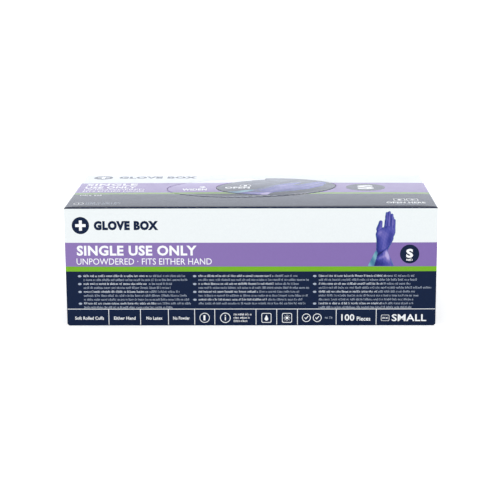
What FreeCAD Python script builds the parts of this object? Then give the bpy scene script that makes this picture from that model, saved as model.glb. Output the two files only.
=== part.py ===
"""A folded paperboard carton that dispenses disposable gloves, with the stack of gloves inside it.

The carton is one die-cut blank, modelled panel by panel as it lies once folded and glued. +Z is up, the long
printed front faces -Y, and the origin is the middle of the underside. Lengths are in millimetres.
"""

import FreeCAD
import Part

import math
import os

import Sketcher

DRIVING_SIZES = {
    # the closed carton and its board
    "carton_length": 244.0,
    "carton_depth": 127.0,
    "carton_height": 80.0,
    "board": 0.5,
    "crease_radius": 0.9,
    "hinge_gap": 0.5,
    "layer_gap": 0.15,
    "glue_thickness": 0.1,
    "corner_jog": 1.6,
    "side_relief": 2.6,
    # the glued seam and the end flaps
    "glue_flap_height": 16.0,
    "glue_flap_taper": 8.0,
    "inner_flap_height": 38.0,
    "dust_flap_reach": 50.0,
    "dust_flap_relief": 1.0,
    "dust_flap_taper": 5.0,
    "flap_corner_cut": 4.0,
    "glue_spot_radius": 5.0,
    "glue_spot_offset": 34.0,
    # the perforated oval in the top: a full oval, and a smaller one for the panel that comes out first
    "oval_centre_y": 8.5,
    "oval_half_length": 59.5,
    "oval_half_width": 37.0,
    "oval_tilt": 10.0,
    "first_centre_x": 17.8,
    "first_centre_y": 9.0,
    "first_half_length": 42.8,
    "first_half_width": 30.1,
    "first_tilt": 9.0,
    "first_step_x": 9.5,
    "kerf": 0.3,
    "nick_width": 0.7,
    "nick_reach": 0.22,
    "nick_root": 0.4,
    # one glove, laid flat
    "glove_thickness": 0.22,
    "glove_pitch": 0.66,
    "cuff_width": 92.0,
    "wrist_width": 78.0,
    "palm_width": 82.0,
    "wrist_at": 88.0,
    "knuckles_at": 157.0,
    "finger_width": 18.5,
    "finger_spacing": 20.5,
    "index_length": 70.0,
    "middle_length": 79.0,
    "ring_length": 73.0,
    "little_length": 57.0,
    "thumb_width": 22.0,
    "thumb_length": 70.0,
    "thumb_at": 78.0,
    "thumb_side": 20.0,
    "thumb_angle": 27.0,
    "digit_root": 12.0,
}
GLOVES = 100
GLOVES_IN_A_LAYER = 5
NICKS = 72
GOLDEN_TURN = math.pi * (3.0 - math.sqrt(5.0))
GLOVE_SHIFT_X = 1.2
GLOVE_SHIFT_Y = 6.0
GLOVE_OFFSET_Y = 8.0

doc = FreeCAD.newDocument("glove_carton")
sheet = doc.addObject("Spreadsheet::Sheet", "Sizes")
subparts = []


def fill_sheet():
    """Puts each driving dimension in a cell of its own, named by an alias."""
    for row, (name, value) in enumerate(DRIVING_SIZES.items(), start=1):
        sheet.set(f"A{row}", name)
        sheet.set(f"B{row}", str(value))
        sheet.setAlias(f"B{row}", name)
    doc.recompute()


def size(name):
    """The number in a named cell."""
    return float(sheet.get(name))


def worked_out(expression):
    """The value of an expression in the sheet's names, for the first guess of a sketch's geometry."""
    return float(sheet.evalExpression(expression))


def keep(thing, label):
    """Names an object as a sub-part of the carton."""
    thing.Label = label
    subparts.append(thing)
    return thing


def bind(thing, **expressions):
    """Ties properties of an object to expressions; two underscores stand for a dot in the property's path."""
    for path, expression in expressions.items():
        thing.setExpression(path.replace("__", "."), expression)
    return thing


def box(name, low, high):
    """A block between two corners, each given as three expressions."""
    made = doc.addObject("Part::Box", name)
    spans = [f"({top}) - ({bottom})" for bottom, top in zip(low, high)]
    bind(made, Length=spans[0], Width=spans[1], Height=spans[2])
    return place(made, low)


def place(thing, corner):
    """Ties an object's position to three expressions."""
    x, y, z = corner
    return bind(thing, Placement__Base__x=x, Placement__Base__y=y, Placement__Base__z=z)


def boolean(kind, name, base, tool):
    """A Part::Cut or Part::Common of two objects."""
    made = doc.addObject(kind, name)
    made.Base = base
    made.Tool = tool
    return made


def mirrored(source, name, normal):
    """The mirror image of an object in a plane through the origin."""
    made = doc.addObject("Part::Mirroring", name)
    made.Source = source
    made.Base = FreeCAD.Vector(0, 0, 0)
    made.Normal = FreeCAD.Vector(*normal)
    return made


def grouped(kind, name, members):
    """A Part::Compound or Part::MultiFuse of several objects."""
    made = doc.addObject(kind, name)
    if kind == "Part::Compound":
        made.Links = members
    else:
        made.Shapes = members
        made.Refine = True
    return made


def origin_plane(body, role):
    """One of a body's own origin planes, such as XY_Plane."""
    return next(f for f in body.Origin.OriginFeatures if f.Role == role)


def tie_point(sketch, edge, end, name, x, y):
    """Ties one end of an edge to two expressions, measured from the sketch's origin."""
    for kind, expression in (("DistanceX", x), ("DistanceY", y)):
        value = worked_out(expression)
        index = sketch.addConstraint(Sketcher.Constraint(kind, -1, 1, edge, end, value))
        sketch.renameConstraint(index, f"{name}_{kind}")
        sketch.setExpression(f"Constraints.{name}_{kind}", expression)


def arc_between(start, end, radius, turn):
    """An arc joining two points; turn is +1 for anticlockwise and -1 for clockwise from start to end."""
    chord = end - start
    rise = math.sqrt(max(radius**2 - (chord.Length / 2) ** 2, 0.0))
    across = FreeCAD.Vector(-chord.y, chord.x, 0).normalize()
    centre = (start + end) * 0.5 + across * (rise * turn)
    ends = (start, end) if turn > 0 else (end, start)
    angles = [math.atan2(point.y - centre.y, point.x - centre.x) for point in ends]
    return Part.ArcOfCircle(Part.Circle(centre, FreeCAD.Vector(0, 0, 1), radius), *angles)


def sketch_outline(body, name, plane, corners, arcs=None, offset=None):
    """A closed outline on one of a body's origin planes.

    Each corner is a pair of expressions. arcs maps an edge's number to its radius expression and its turn, and
    every other edge is straight. offset moves the sketch along the plane's normal.
    """
    arcs = arcs or {}
    sketch = body.newObject("Sketcher::SketchObject", name)
    sketch.AttachmentSupport = [(origin_plane(body, plane), "")]
    sketch.MapMode = "FlatFace"
    if offset:
        bind(sketch, AttachmentOffset__Base__z=offset)
    points = [FreeCAD.Vector(worked_out(x), worked_out(y), 0) for x, y in corners]
    last = len(corners)
    for edge, start in enumerate(points):
        end = points[(edge + 1) % last]
        if edge in arcs:
            radius, turn = arcs[edge]
            sketch.addGeometry(arc_between(start, end, worked_out(radius), turn), False)
        else:
            sketch.addGeometry(Part.LineSegment(start, end), False)
    starts, ends = {}, {}
    for edge, start in enumerate(points):
        geometry = sketch.Geometry[edge]
        begins_here = geometry.StartPoint.distanceToPoint(start) < 1e-6
        starts[edge], ends[edge] = (1, 2) if begins_here else (2, 1)
    for edge in range(last):
        following = (edge + 1) % last
        sketch.addConstraint(
            Sketcher.Constraint("Coincident", edge, ends[edge], following, starts[following])
        )
    for edge, (x, y) in enumerate(corners):
        tie_point(sketch, edge, starts[edge], f"corner{edge}", x, y)
    for edge, (radius, _) in arcs.items():
        index = sketch.addConstraint(Sketcher.Constraint("Radius", edge, worked_out(radius)))
        sketch.renameConstraint(index, f"radius{edge}")
        sketch.setExpression(f"Constraints.radius{edge}", radius)
    return sketch


def pad(body, sketch, length, both_ways=False):
    """Pads a sketch along its normal, or half each way."""
    made = body.newObject("PartDesign::Pad", sketch.Name + "_pad")
    made.Profile = sketch
    made.Midplane = both_ways
    bind(made, Length=length)
    body.Tip = made
    return made


# Expressions for the planes that several pieces share.
HALF_LENGTH = "Sizes.carton_length / 2"
HALF_DEPTH = "Sizes.carton_depth / 2"
HEIGHT = "Sizes.carton_height"
BOARD = "Sizes.board"
BEND = "Sizes.crease_radius"
INNER_BEND = f"({BEND} - {BOARD})"
OUTER_FLAP_PLANE = f"({HALF_LENGTH} - {BOARD})"
INNER_FLAP_PLANE = f"({HALF_LENGTH} - 2 * {BOARD} - Sizes.layer_gap)"
DUST_FLAP_FACE = f"({INNER_FLAP_PLANE} - Sizes.layer_gap)"
FRONT_END = f"({HALF_LENGTH} - {BEND})"
TOP_END = f"({OUTER_FLAP_PLANE} - Sizes.hinge_gap)"
BOTTOM_END = f"({INNER_FLAP_PLANE} - Sizes.hinge_gap)"
SEAM_FACE = f"({HALF_DEPTH} - {BOARD} - Sizes.glue_thickness)"


def folded_strip(name, back_face, level, side):
    """A level panel with a quarter bend along its front and its back edge.

    back_face is the outer face of the wall behind it, level its outer face, and side +1 for the top, whose bends
    turn down, or -1 for the bottom, whose bends turn up.
    """
    body = doc.addObject("PartDesign::Body", name)
    sign = "" if side > 0 else "-"
    bent = f"{level} - ({sign}{BEND})"
    inner = f"{level} - ({sign}{BOARD})"
    front_face = f"-({HALF_DEPTH})"
    corners = [
        (front_face, bent),
        (f"{front_face} + {BEND}", level),
        (f"{back_face} - {BEND}", level),
        (back_face, bent),
        (f"{back_face} - {BOARD}", bent),
        (f"{back_face} - {BEND}", inner),
        (f"{front_face} + {BEND}", inner),
        (f"{front_face} + {BOARD}", bent),
    ]
    outside, inside = (-side, side)
    arcs = {0: (BEND, outside), 2: (BEND, outside), 4: (INNER_BEND, inside), 6: (INNER_BEND, inside)}
    sketch = sketch_outline(body, name + "_profile", "YZ_Plane", corners, arcs)
    return body, sketch


def oval_prism(name, half_length, half_width, tilt, centre_x, centre_y):
    """An upright elliptical prism through the top panel, tilted about Z."""
    outline = doc.addObject("Part::Ellipse", name + "_outline")
    bind(outline, MajorRadius=half_length, MinorRadius=half_width)
    outline.Placement.Rotation = FreeCAD.Rotation(FreeCAD.Vector(0, 0, 1), 1)
    bind(outline, Placement__Rotation__Angle=tilt)
    place(outline, (centre_x, centre_y, f"{HEIGHT} - 2 * {BOARD}"))
    prism = doc.addObject("Part::Extrusion", name)
    prism.Base = outline
    prism.DirMode = "Custom"
    prism.Dir = FreeCAD.Vector(0, 0, 1)
    prism.Solid = True
    bind(prism, LengthFwd=f"4 * {BOARD}")
    return prism


def oval(name, inset):
    """The full oval opening, smaller all round by an inset."""
    return oval_prism(
        name,
        f"Sizes.oval_half_length - {inset}",
        f"Sizes.oval_half_width - {inset}",
        "Sizes.oval_tilt",
        "0",
        "Sizes.oval_centre_y",
    )


def first_region(name, inset):
    """The part of the oval that comes out first: a smaller oval, and behind it all that is right of a step."""
    small = oval_prism(
        name + "_small",
        f"Sizes.first_half_length - {inset}",
        f"Sizes.first_half_width - {inset}",
        "Sizes.first_tilt",
        "Sizes.first_centre_x",
        "Sizes.first_centre_y",
    )
    right = box(
        name + "_right",
        (f"Sizes.first_step_x + {inset}", "Sizes.first_centre_y", f"{HEIGHT} - 2 * {BOARD}"),
        (HALF_LENGTH, HALF_DEPTH, f"{HEIGHT} + 2 * {BOARD}"),
    )
    return grouped("Part::MultiFuse", name, [small, right])


def board_slab(name):
    """The top panel's sheet of board, without its bends or its opening."""
    return box(
        name,
        (f"-({TOP_END})", f"-({HALF_DEPTH})", f"{HEIGHT} - {BOARD}"),
        (TOP_END, HALF_DEPTH, HEIGHT),
    )


def perforation_nicks():
    """The short uncut bridges round the oval, left standing on the top panel's edge."""
    half_length, half_width = size("oval_half_length"), size("oval_half_width")
    tilt = math.radians(size("oval_tilt"))
    reach, root = size("nick_reach"), size("nick_root")
    nicks = []
    for index in range(NICKS):
        turn = 2 * math.pi * (index + 0.5) / NICKS
        along = FreeCAD.Vector(half_length * math.cos(turn), half_width * math.sin(turn), 0)
        outward = FreeCAD.Vector(math.cos(turn) / half_length, math.sin(turn) / half_width, 0)
        heading = math.degrees(math.atan2(outward.y, outward.x) + tilt)
        spin = FreeCAD.Rotation(FreeCAD.Vector(0, 0, 1), math.degrees(tilt))
        centre = spin.multVec(along) + FreeCAD.Vector(0, size("oval_centre_y"), 0)
        nick = Part.makeBox(reach + root, size("nick_width"), size("board"))
        nick.translate(FreeCAD.Vector(-reach, -size("nick_width") / 2, 0))
        nick.rotate(FreeCAD.Vector(0, 0, 0), FreeCAD.Vector(0, 0, 1), heading)
        nick.translate(centre + FreeCAD.Vector(0, 0, size("carton_height") - size("board")))
        nicks.append(nick)
    made = doc.addObject("Part::Feature", "perforation_nicks")
    made.Shape = Part.makeCompound(nicks)
    return made


def make_top():
    """The top panel with its oval opening, and the two perforated panels that fill it."""
    body, sketch = folded_strip("top_sheet", HALF_DEPTH, HEIGHT, +1)
    pad(body, sketch, f"2 * {TOP_END}", both_ways=True)
    opened = boolean("Part::Cut", "top_opened", body, oval("opening", "0"))
    keep(grouped("Part::MultiFuse", "top", [opened, perforation_nicks()]), "top_panel")
    filling = boolean("Part::Common", "filling", board_slab("filling_slab"), oval("filling_oval", "Sizes.kerf"))
    first = boolean("Part::Common", "first", filling, first_region("first_region", "Sizes.kerf / 2"))
    keep(first, "first_tear_panel")
    second = boolean("Part::Cut", "second", filling, first_region("first_region_grown", "-Sizes.kerf / 2"))
    keep(second, "second_tear_panel")


def make_walls():
    """The front and back walls, the bottom with the seam's glue flap, and the glue in the seam."""
    body, sketch = folded_strip("bottom_sheet", SEAM_FACE, "0", -1)
    pad(body, sketch, f"2 * {BOTTOM_END}", both_ways=True)
    keep(body, "bottom_panel")
    wall_top = f"{HEIGHT} - {BEND}"
    front_face = f"-({HALF_DEPTH})"
    front = box("front", (f"-({FRONT_END})", front_face, BEND), (FRONT_END, f"{front_face} + {BOARD}", wall_top))
    keep(front, "front_panel")
    back = box(
        "back",
        (f"-({FRONT_END})", f"{HALF_DEPTH} - {BOARD}", "Sizes.hinge_gap"),
        (FRONT_END, HALF_DEPTH, wall_top),
    )
    keep(back, "back_panel")
    make_glue_flap()
    glue = box(
        "seam_glue",
        (f"-({FRONT_END}) + 2 * Sizes.glue_flap_taper", SEAM_FACE, f"{BEND} + Sizes.glue_flap_height / 4"),
        (
            f"{FRONT_END} - 2 * Sizes.glue_flap_taper",
            f"{HALF_DEPTH} - {BOARD}",
            f"{BEND} + 3 * Sizes.glue_flap_height / 4",
        ),
    )
    keep(glue, "seam_glue_line")


def make_glue_flap():
    """The strip that stands up inside the back wall and carries the seam's glue, its ends cut back."""
    body = doc.addObject("PartDesign::Body", "glue_flap_body")
    flap_end = f"({FRONT_END} - Sizes.layer_gap)"
    top = f"{BEND} + Sizes.glue_flap_height"
    corners = [
        (f"-({flap_end})", BEND),
        (flap_end, BEND),
        (f"{flap_end} - Sizes.glue_flap_taper", top),
        (f"-({flap_end}) + Sizes.glue_flap_taper", top),
    ]
    sketch = sketch_outline(
        body, "glue_flap_outline", "XZ_Plane", corners, offset=f"-({SEAM_FACE})"
    )
    pad(body, sketch, BOARD)
    keep(body, "glue_flap")


def make_dust_flaps():
    """The four side flaps, each bent round from the end of the front or the back wall.

    Past its bend each flap jogs inwards, so that it lies behind the inner and the outer flap.
    """
    body = doc.addObject("PartDesign::Body", "dust_flap_body")
    face = DUST_FLAP_FACE
    front = f"-({HALF_DEPTH})"
    tip = f"{front} + Sizes.dust_flap_reach"
    bent = f"{front} + {BEND}"
    jogged = f"{bent} + Sizes.corner_jog"
    corners = [
        (FRONT_END, front),
        (HALF_LENGTH, bent),
        (face, jogged),
        (face, tip),
        (f"{face} - {BOARD}", tip),
        (f"{face} - {BOARD}", jogged),
        (f"{HALF_LENGTH} - {BOARD}", bent),
        (FRONT_END, f"{front} + {BOARD}"),
    ]
    arcs = {0: (BEND, +1), 6: (INNER_BEND, -1)}
    relief = "Sizes.dust_flap_relief"
    sketch = sketch_outline(body, "dust_flap_profile", "XY_Plane", corners, arcs, offset=relief)
    pad(body, sketch, f"{HEIGHT} - 2 * {relief}")
    outline = doc.addObject("PartDesign::Body", "dust_flap_taper_body")
    square_to = f"{jogged} + {BEND}"
    taper = "Sizes.dust_flap_taper"
    tapered = [
        (front, "0"),
        (square_to, "0"),
        (square_to, relief),
        (tip, f"{relief} + {taper}"),
        (tip, f"{HEIGHT} - {relief} - {taper}"),
        (square_to, f"{HEIGHT} - {relief}"),
        (square_to, HEIGHT),
        (front, HEIGHT),
    ]
    across = sketch_outline(outline, "dust_flap_taper_outline", "YZ_Plane", tapered)
    pad(outline, across, HALF_LENGTH)
    right_front = boolean("Part::Common", "right_front_dust", body, outline)
    keep(right_front, "right_front_dust_flap")
    right_back = keep(mirrored(right_front, "right_back_dust", (0, 1, 0)), "right_back_dust_flap")
    keep(mirrored(right_front, "left_front_dust", (1, 0, 0)), "left_front_dust_flap")
    keep(mirrored(right_back, "left_back_dust", (1, 0, 0)), "left_back_dust_flap")


def end_flap(name, plane, crease_level, free_level):
    """An upright end flap nearly as wide as the carton, with its two free corners cut off."""
    body = doc.addObject("PartDesign::Body", name)
    edge = f"({HALF_DEPTH} - Sizes.side_relief)"
    cut = "Sizes.flap_corner_cut"
    rising = worked_out(free_level) > worked_out(crease_level)
    shoulder = f"{free_level} {'-' if rising else '+'} {cut}"
    corners = [
        (f"-({edge})", crease_level),
        (f"-({edge})", shoulder),
        (f"-({edge}) + {cut} / 2", free_level),
        (f"{edge} - {cut} / 2", free_level),
        (edge, shoulder),
        (edge, crease_level),
    ]
    sketch = sketch_outline(body, name + "_outline", "YZ_Plane", corners, offset=plane)
    pad(body, sketch, BOARD)
    return body


def glue_spots(name, face, level):
    """A pair of hot-melt spots standing on the outside of a flap."""
    spots = []
    for number, side in enumerate(("-", "")):
        spot = doc.addObject("Part::Cylinder", f"{name}_{number}")
        bind(spot, Radius="Sizes.glue_spot_radius", Height="Sizes.glue_thickness")
        spot.Placement.Rotation = FreeCAD.Rotation(FreeCAD.Vector(0, 1, 0), 90)
        place(spot, (face, f"{side}Sizes.glue_spot_offset", level))
        spots.append(spot)
    return grouped("Part::Compound", name, spots)


def make_end_flaps():
    """The outer and inner flap of each end, with the glue between the layers."""
    hinge_gap = "Sizes.hinge_gap"
    outer = end_flap("outer_flap", OUTER_FLAP_PLANE, f"{HEIGHT} - {BOARD} - {hinge_gap}", hinge_gap)
    inner = end_flap("inner_flap", INNER_FLAP_PLANE, f"{BOARD} + {hinge_gap}", "Sizes.inner_flap_height")
    flap_glue = glue_spots("flap_glue", f"{INNER_FLAP_PLANE} + {BOARD}", "0.7 * Sizes.inner_flap_height")
    dust_glue = glue_spots("dust_glue", DUST_FLAP_FACE, "0.4 * Sizes.inner_flap_height")
    for source, label in (
        (outer, "outer_flap"),
        (inner, "inner_flap"),
        (flap_glue, "flap_glue"),
        (dust_glue, "dust_glue"),
    ):
        keep(source, "right_" + label)
        keep(mirrored(source, "left_" + label, (1, 0, 0)), "left_" + label)


def digit(name, width, length, at_x, at_y, angle=None):
    """A finger or thumb: a strip with a round end, rooted inside the hand."""
    root = "Sizes.digit_root"
    strip = box(
        name + "_strip",
        (f"-{root}", f"-({width}) / 2", "0"),
        (f"{length} - {width} / 2", f"{width} / 2", "Sizes.glove_thickness"),
    )
    tip = doc.addObject("Part::Cylinder", name + "_tip")
    bind(tip, Radius=f"{width} / 2", Height="Sizes.glove_thickness")
    place(tip, (f"{length} - {width} / 2", "0", "0"))
    made = grouped("Part::MultiFuse", name, [strip, tip])
    if angle:
        made.Placement.Rotation = FreeCAD.Rotation(FreeCAD.Vector(0, 0, 1), 1)
        bind(made, Placement__Rotation__Angle=angle)
    return place(made, (at_x, at_y, "0"))


def make_glove():
    """One glove laid flat, its cuff at x = 0 and its fingers along +X."""
    hand = doc.addObject("PartDesign::Body", "hand_body")
    outline = [("0", "cuff_width"), ("wrist_at", "wrist_width"), ("knuckles_at", "palm_width")]
    near = [(f"Sizes.{x}" if x != "0" else x, f"-Sizes.{width} / 2") for x, width in outline]
    far = [(f"Sizes.{x}" if x != "0" else x, f"Sizes.{width} / 2") for x, width in reversed(outline)]
    sketch = sketch_outline(hand, "hand_outline", "XY_Plane", near + far)
    pad(hand, sketch, "Sizes.glove_thickness")
    fingers = ("index", "middle", "ring", "little")
    digits = [
        digit(
            finger,
            "Sizes.finger_width",
            f"Sizes.{finger}_length",
            "Sizes.knuckles_at",
            f"({(len(fingers) - 1) / 2 - number}) * Sizes.finger_spacing",
        )
        for number, finger in enumerate(fingers)
    ]
    thumb = digit(
        "thumb",
        "Sizes.thumb_width",
        "Sizes.thumb_length",
        "Sizes.thumb_at",
        "Sizes.thumb_side",
        "Sizes.thumb_angle",
    )
    return grouped("Part::MultiFuse", "glove", [hand, *digits, thumb])


def make_glove_layers(glove):
    """The stack of gloves, turned end for end and side for side in turn, as layers of a few gloves each."""
    doc.recompute()
    as_made = glove.Shape.copy()
    turned_over = as_made.mirror(FreeCAD.Vector(0, 0, 0), FreeCAD.Vector(0, 1, 0))
    reach = as_made.BoundBox.XMax
    first_level = size("board") + size("glove_pitch") / 2
    for layer in range(GLOVES // GLOVES_IN_A_LAYER):
        gloves = []
        for place_in_layer in range(GLOVES_IN_A_LAYER):
            number = layer * GLOVES_IN_A_LAYER + place_in_layer
            reversed_ends, reversed_sides = number % 2 == 1, number % 4 >= 2
            shape = (turned_over if reversed_sides else as_made).copy()
            side = 1 if reversed_sides else -1
            shape.translate(FreeCAD.Vector(-reach / 2, side * GLOVE_OFFSET_Y, 0))
            if reversed_ends:
                shape.rotate(FreeCAD.Vector(0, 0, 0), FreeCAD.Vector(0, 0, 1), 180)
            shift = FreeCAD.Vector(
                GLOVE_SHIFT_X * math.cos(number * GOLDEN_TURN),
                GLOVE_SHIFT_Y * math.sin(number * GOLDEN_TURN),
                first_level + number * size("glove_pitch"),
            )
            shape.translate(shift)
            gloves.append(shape)
        made = doc.addObject("Part::Feature", f"gloves_{layer + 1:02d}")
        made.Shape = Part.makeCompound(gloves)
        keep(made, f"glove_layer_{layer + 1:02d}")


def check_and_export():
    """Stops if any object failed or any sub-part is not sound, and writes each sub-part's STEP file."""
    doc.recompute()
    for thing in doc.Objects:
        failed = [word for word in thing.State if word in ("Invalid", "Error")]
        if failed:
            raise RuntimeError(f"{thing.Label} is {failed}")
    os.makedirs("parts", exist_ok=True)
    for part in subparts:
        shape = part.Shape
        if shape.isNull() or not shape.isValid() or not shape.Solids:
            raise RuntimeError(f"{part.Label} has no valid solid")
        if any(solid.Volume <= 0 for solid in shape.Solids):
            raise RuntimeError(f"{part.Label} has a solid turned inside out")
        shape.exportStep(os.path.join("parts", part.Label + ".step"))
        extent = shape.BoundBox
        print(
            f"{part.Label:24s} solids {len(shape.Solids):3d}  volume {shape.Volume:9.1f} mm3  "
            f"x {extent.XMin:8.2f} {extent.XMax:8.2f}  y {extent.YMin:7.2f} {extent.YMax:7.2f}  "
            f"z {extent.ZMin:6.2f} {extent.ZMax:6.2f}"
        )


fill_sheet()
make_top()
make_walls()
make_dust_flaps()
make_end_flaps()
make_glove_layers(make_glove())
check_and_export()
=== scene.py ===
"""The looks of a printed paperboard carton of disposable gloves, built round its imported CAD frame.

Lengths here are in millimetres, in the frame's axes: X along the carton, Y to its back, Z up. new_piece turns
them into metres. Scales of noise are per metre, and depths of bumps are in metres.
"""

import math
import random

import bmesh
import bpy
import numpy as np
from mathutils import Matrix, Vector, noise


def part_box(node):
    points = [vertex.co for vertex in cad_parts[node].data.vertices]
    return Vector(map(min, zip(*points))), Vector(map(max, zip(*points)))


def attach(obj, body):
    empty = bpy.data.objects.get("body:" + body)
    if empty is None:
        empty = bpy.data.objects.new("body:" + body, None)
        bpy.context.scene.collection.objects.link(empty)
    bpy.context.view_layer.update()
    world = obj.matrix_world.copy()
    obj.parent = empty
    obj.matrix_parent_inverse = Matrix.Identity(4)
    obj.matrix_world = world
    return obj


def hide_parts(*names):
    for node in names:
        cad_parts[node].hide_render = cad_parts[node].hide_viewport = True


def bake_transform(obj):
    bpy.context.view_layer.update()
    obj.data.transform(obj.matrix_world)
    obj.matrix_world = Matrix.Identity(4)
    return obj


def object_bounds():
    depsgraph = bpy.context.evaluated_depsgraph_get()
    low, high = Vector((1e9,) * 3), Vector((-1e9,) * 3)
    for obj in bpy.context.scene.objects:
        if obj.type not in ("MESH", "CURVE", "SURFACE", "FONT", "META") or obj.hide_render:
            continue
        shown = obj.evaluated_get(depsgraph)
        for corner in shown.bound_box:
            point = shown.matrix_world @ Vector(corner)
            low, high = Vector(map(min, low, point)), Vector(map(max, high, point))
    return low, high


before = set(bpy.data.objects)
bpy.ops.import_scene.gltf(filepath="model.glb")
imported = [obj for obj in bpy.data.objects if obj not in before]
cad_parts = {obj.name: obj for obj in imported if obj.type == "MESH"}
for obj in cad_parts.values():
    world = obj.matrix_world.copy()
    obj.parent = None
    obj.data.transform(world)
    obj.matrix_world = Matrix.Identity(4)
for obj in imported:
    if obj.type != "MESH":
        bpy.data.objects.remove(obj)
cad_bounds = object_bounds()

MM = 0.001
CARTON = "carton"

# ---------------------------------------------------------------- sizes of the carton, read from the frame
HALF_LENGTH, HALF_DEPTH, HEIGHT = Vector(cad_bounds[1]) / MM


def node_box(node):
    """The lowest and the highest corner of a CAD node, in millimetres."""
    low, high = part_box(node)
    return low / MM, high / MM


FRONT_LOW, FRONT_HIGH = node_box("front_panel")
TOP_LOW, TOP_HIGH = node_box("top_panel")
BOTTOM_HIGH = node_box("bottom_panel")[1]
BOARD = FRONT_HIGH.y - FRONT_LOW.y
# The radius of a crease's bend, its length along the print, and where the top's flat part ends.
BEND = HEIGHT - TOP_LOW.z
BEND_ARC = math.pi / 2 * BEND
TOP_END = TOP_HIGH.x
FLAT_HALF_DEPTH = HALF_DEPTH - BEND

# ---------------------------------------------------------------- the perforated oval, as on the drawing
# The cut's width, the number and width of the uncut bridges across it, and the place of its step at the back.
KERF = 0.3
NICKS = 72
NICK_WIDTH = 0.7
OVAL = {"centre": (0.0, 8.5), "axes": (59.5, 37.0), "tilt": math.radians(10.0)}
FIRST_OVAL = {"centre": (17.8, 9.0), "axes": (42.8, 30.1), "tilt": math.radians(9.0)}
STEP_X = 9.5

# ---------------------------------------------------------------- inks and other colours, as 8-bit sRGB
WHITE_INK = (234, 239, 240)
PURPLE_INK = (137, 114, 175)
GREEN_INK = (119, 176, 39)
NAVY_INK = (11, 29, 60)
# The top's white is painted shade: the white ink greyed to offset the brighter light and glare on the top.
TOP_WHITE_PAINTED_SHADE = (226, 231, 235)
TOP_GREEN_INK = (112, 150, 66)
PURPLE_LEFT_INK = (140, 118, 177)
PURPLE_RIGHT_INK = (131, 108, 172)


def linear(rgb):
    """An 8-bit sRGB colour as linear RGBA."""
    parts = [c / 255 for c in rgb]
    return tuple(c / 12.92 if c <= 0.04045 else ((c + 0.055) / 1.055) ** 2.4 for c in parts) + (1.0,)


# ---------------------------------------------------------------- materials
class Nodes:
    """A material's node tree, with short calls for making and joining nodes."""

    def __init__(self, name):
        self.material = bpy.data.materials.new(name)
        self.material.use_nodes = True
        self.tree = self.material.node_tree
        self.shader = self.tree.nodes["Principled BSDF"]
        self.place = self.make("ShaderNodeTexCoord").outputs["Object"]

    def make(self, kind, **values):
        """A new node; keyword names are its properties, or its inputs where it has no such property."""
        node = self.tree.nodes.new(kind)
        for key, value in values.items():
            if hasattr(node, key):
                setattr(node, key, value)
            else:
                self.feed(node.inputs[key.replace("_", " ")], value)
        return node

    def feed(self, socket, value):
        """Joins an output to a socket, or sets the socket's own value."""
        if isinstance(value, bpy.types.NodeSocket):
            self.tree.links.new(value, socket)
        else:
            socket.default_value = value

    def finish(self, **values):
        """The material, with its shader's inputs joined or set."""
        for key, value in values.items():
            self.feed(self.shader.inputs[key.replace("_", " ")], value)
        return self.material

    def maths(self, operation, first, second=0.0):
        """The result of a Math node."""
        node = self.make("ShaderNodeMath", operation=operation)
        self.feed(node.inputs[0], first)
        self.feed(node.inputs[1], second)
        return node.outputs[0]

    def axis(self, name):
        """One coordinate of the piece's own place, in metres."""
        split = self.make("ShaderNodeSeparateXYZ", Vector=self.place)
        return split.outputs[name]

    def cloud(self, scale, detail=3.0, stretch=None):
        """Noise at a scale per metre, between 0 and 1."""
        place = self.place
        if stretch:
            place = self.make("ShaderNodeMapping", Vector=place, Scale=stretch).outputs[0]
        return self.make("ShaderNodeTexNoise", Vector=place, Scale=scale, Detail=detail).outputs["Fac"]

    def spread(self, value, low, high, new_low=0.0, new_high=1.0):
        """A value's range moved to another, and clamped."""
        return self.make(
            "ShaderNodeMapRange", Value=value, From_Min=low, From_Max=high, To_Min=new_low, To_Max=new_high
        ).outputs[0]

    def mix(self, factor, first, second, blend="MIX"):
        """Two colours mixed."""
        node = self.make("ShaderNodeMix", data_type="RGBA", blend_type=blend)
        for index, value in ((0, factor), (6, first), (7, second)):
            self.feed(node.inputs[index], value)
        return node.outputs[2]

    def bands(self, value, start, stops):
        """Flat colours along a value: the start colour, then a new one from each stop on."""
        node = self.make("ShaderNodeValToRGB")
        ramp = node.color_ramp
        ramp.interpolation = "CONSTANT"
        ramp.elements[0].color = linear(start)
        ramp.elements.remove(ramp.elements[1])
        for position, colour in stops:
            ramp.elements.new(position).color = linear(colour)
        self.feed(node.inputs[0], value)
        return node.outputs[0]

    def bump(self, height, distance, normal=None):
        """A bump of a height map, whose full depth is distance in metres."""
        node = self.make("ShaderNodeBump", Height=height, Distance=distance, Strength=1.0)
        if normal:
            self.feed(node.inputs["Normal"], normal)
        return node.outputs[0]


def varnish(nodes, colour):
    """The finish all the printed faces share: a thin gloss varnish over coated board."""
    mottle = nodes.spread(nodes.cloud(900.0), 0.3, 0.7, 0.985, 1.01)
    grey = nodes.make("ShaderNodeCombineColor", Red=mottle, Green=mottle, Blue=mottle).outputs[0]
    inked = nodes.mix(1.0, colour, grey, "MULTIPLY")
    shine = nodes.spread(nodes.cloud(140.0, 5.0), 0.3, 0.7, 0.13, 0.19)
    waves = nodes.bump(nodes.cloud(40.0, 2.0), 0.00002)
    fibres = nodes.bump(nodes.cloud(2400.0, 4.0), 0.000003, waves)
    return nodes.finish(Base_Color=inked, Roughness=shine, Specular_IOR_Level=0.09, Normal=fibres)


# How much of the white board shows where the ink is cracked.
SCUFFING = 0.25


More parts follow.
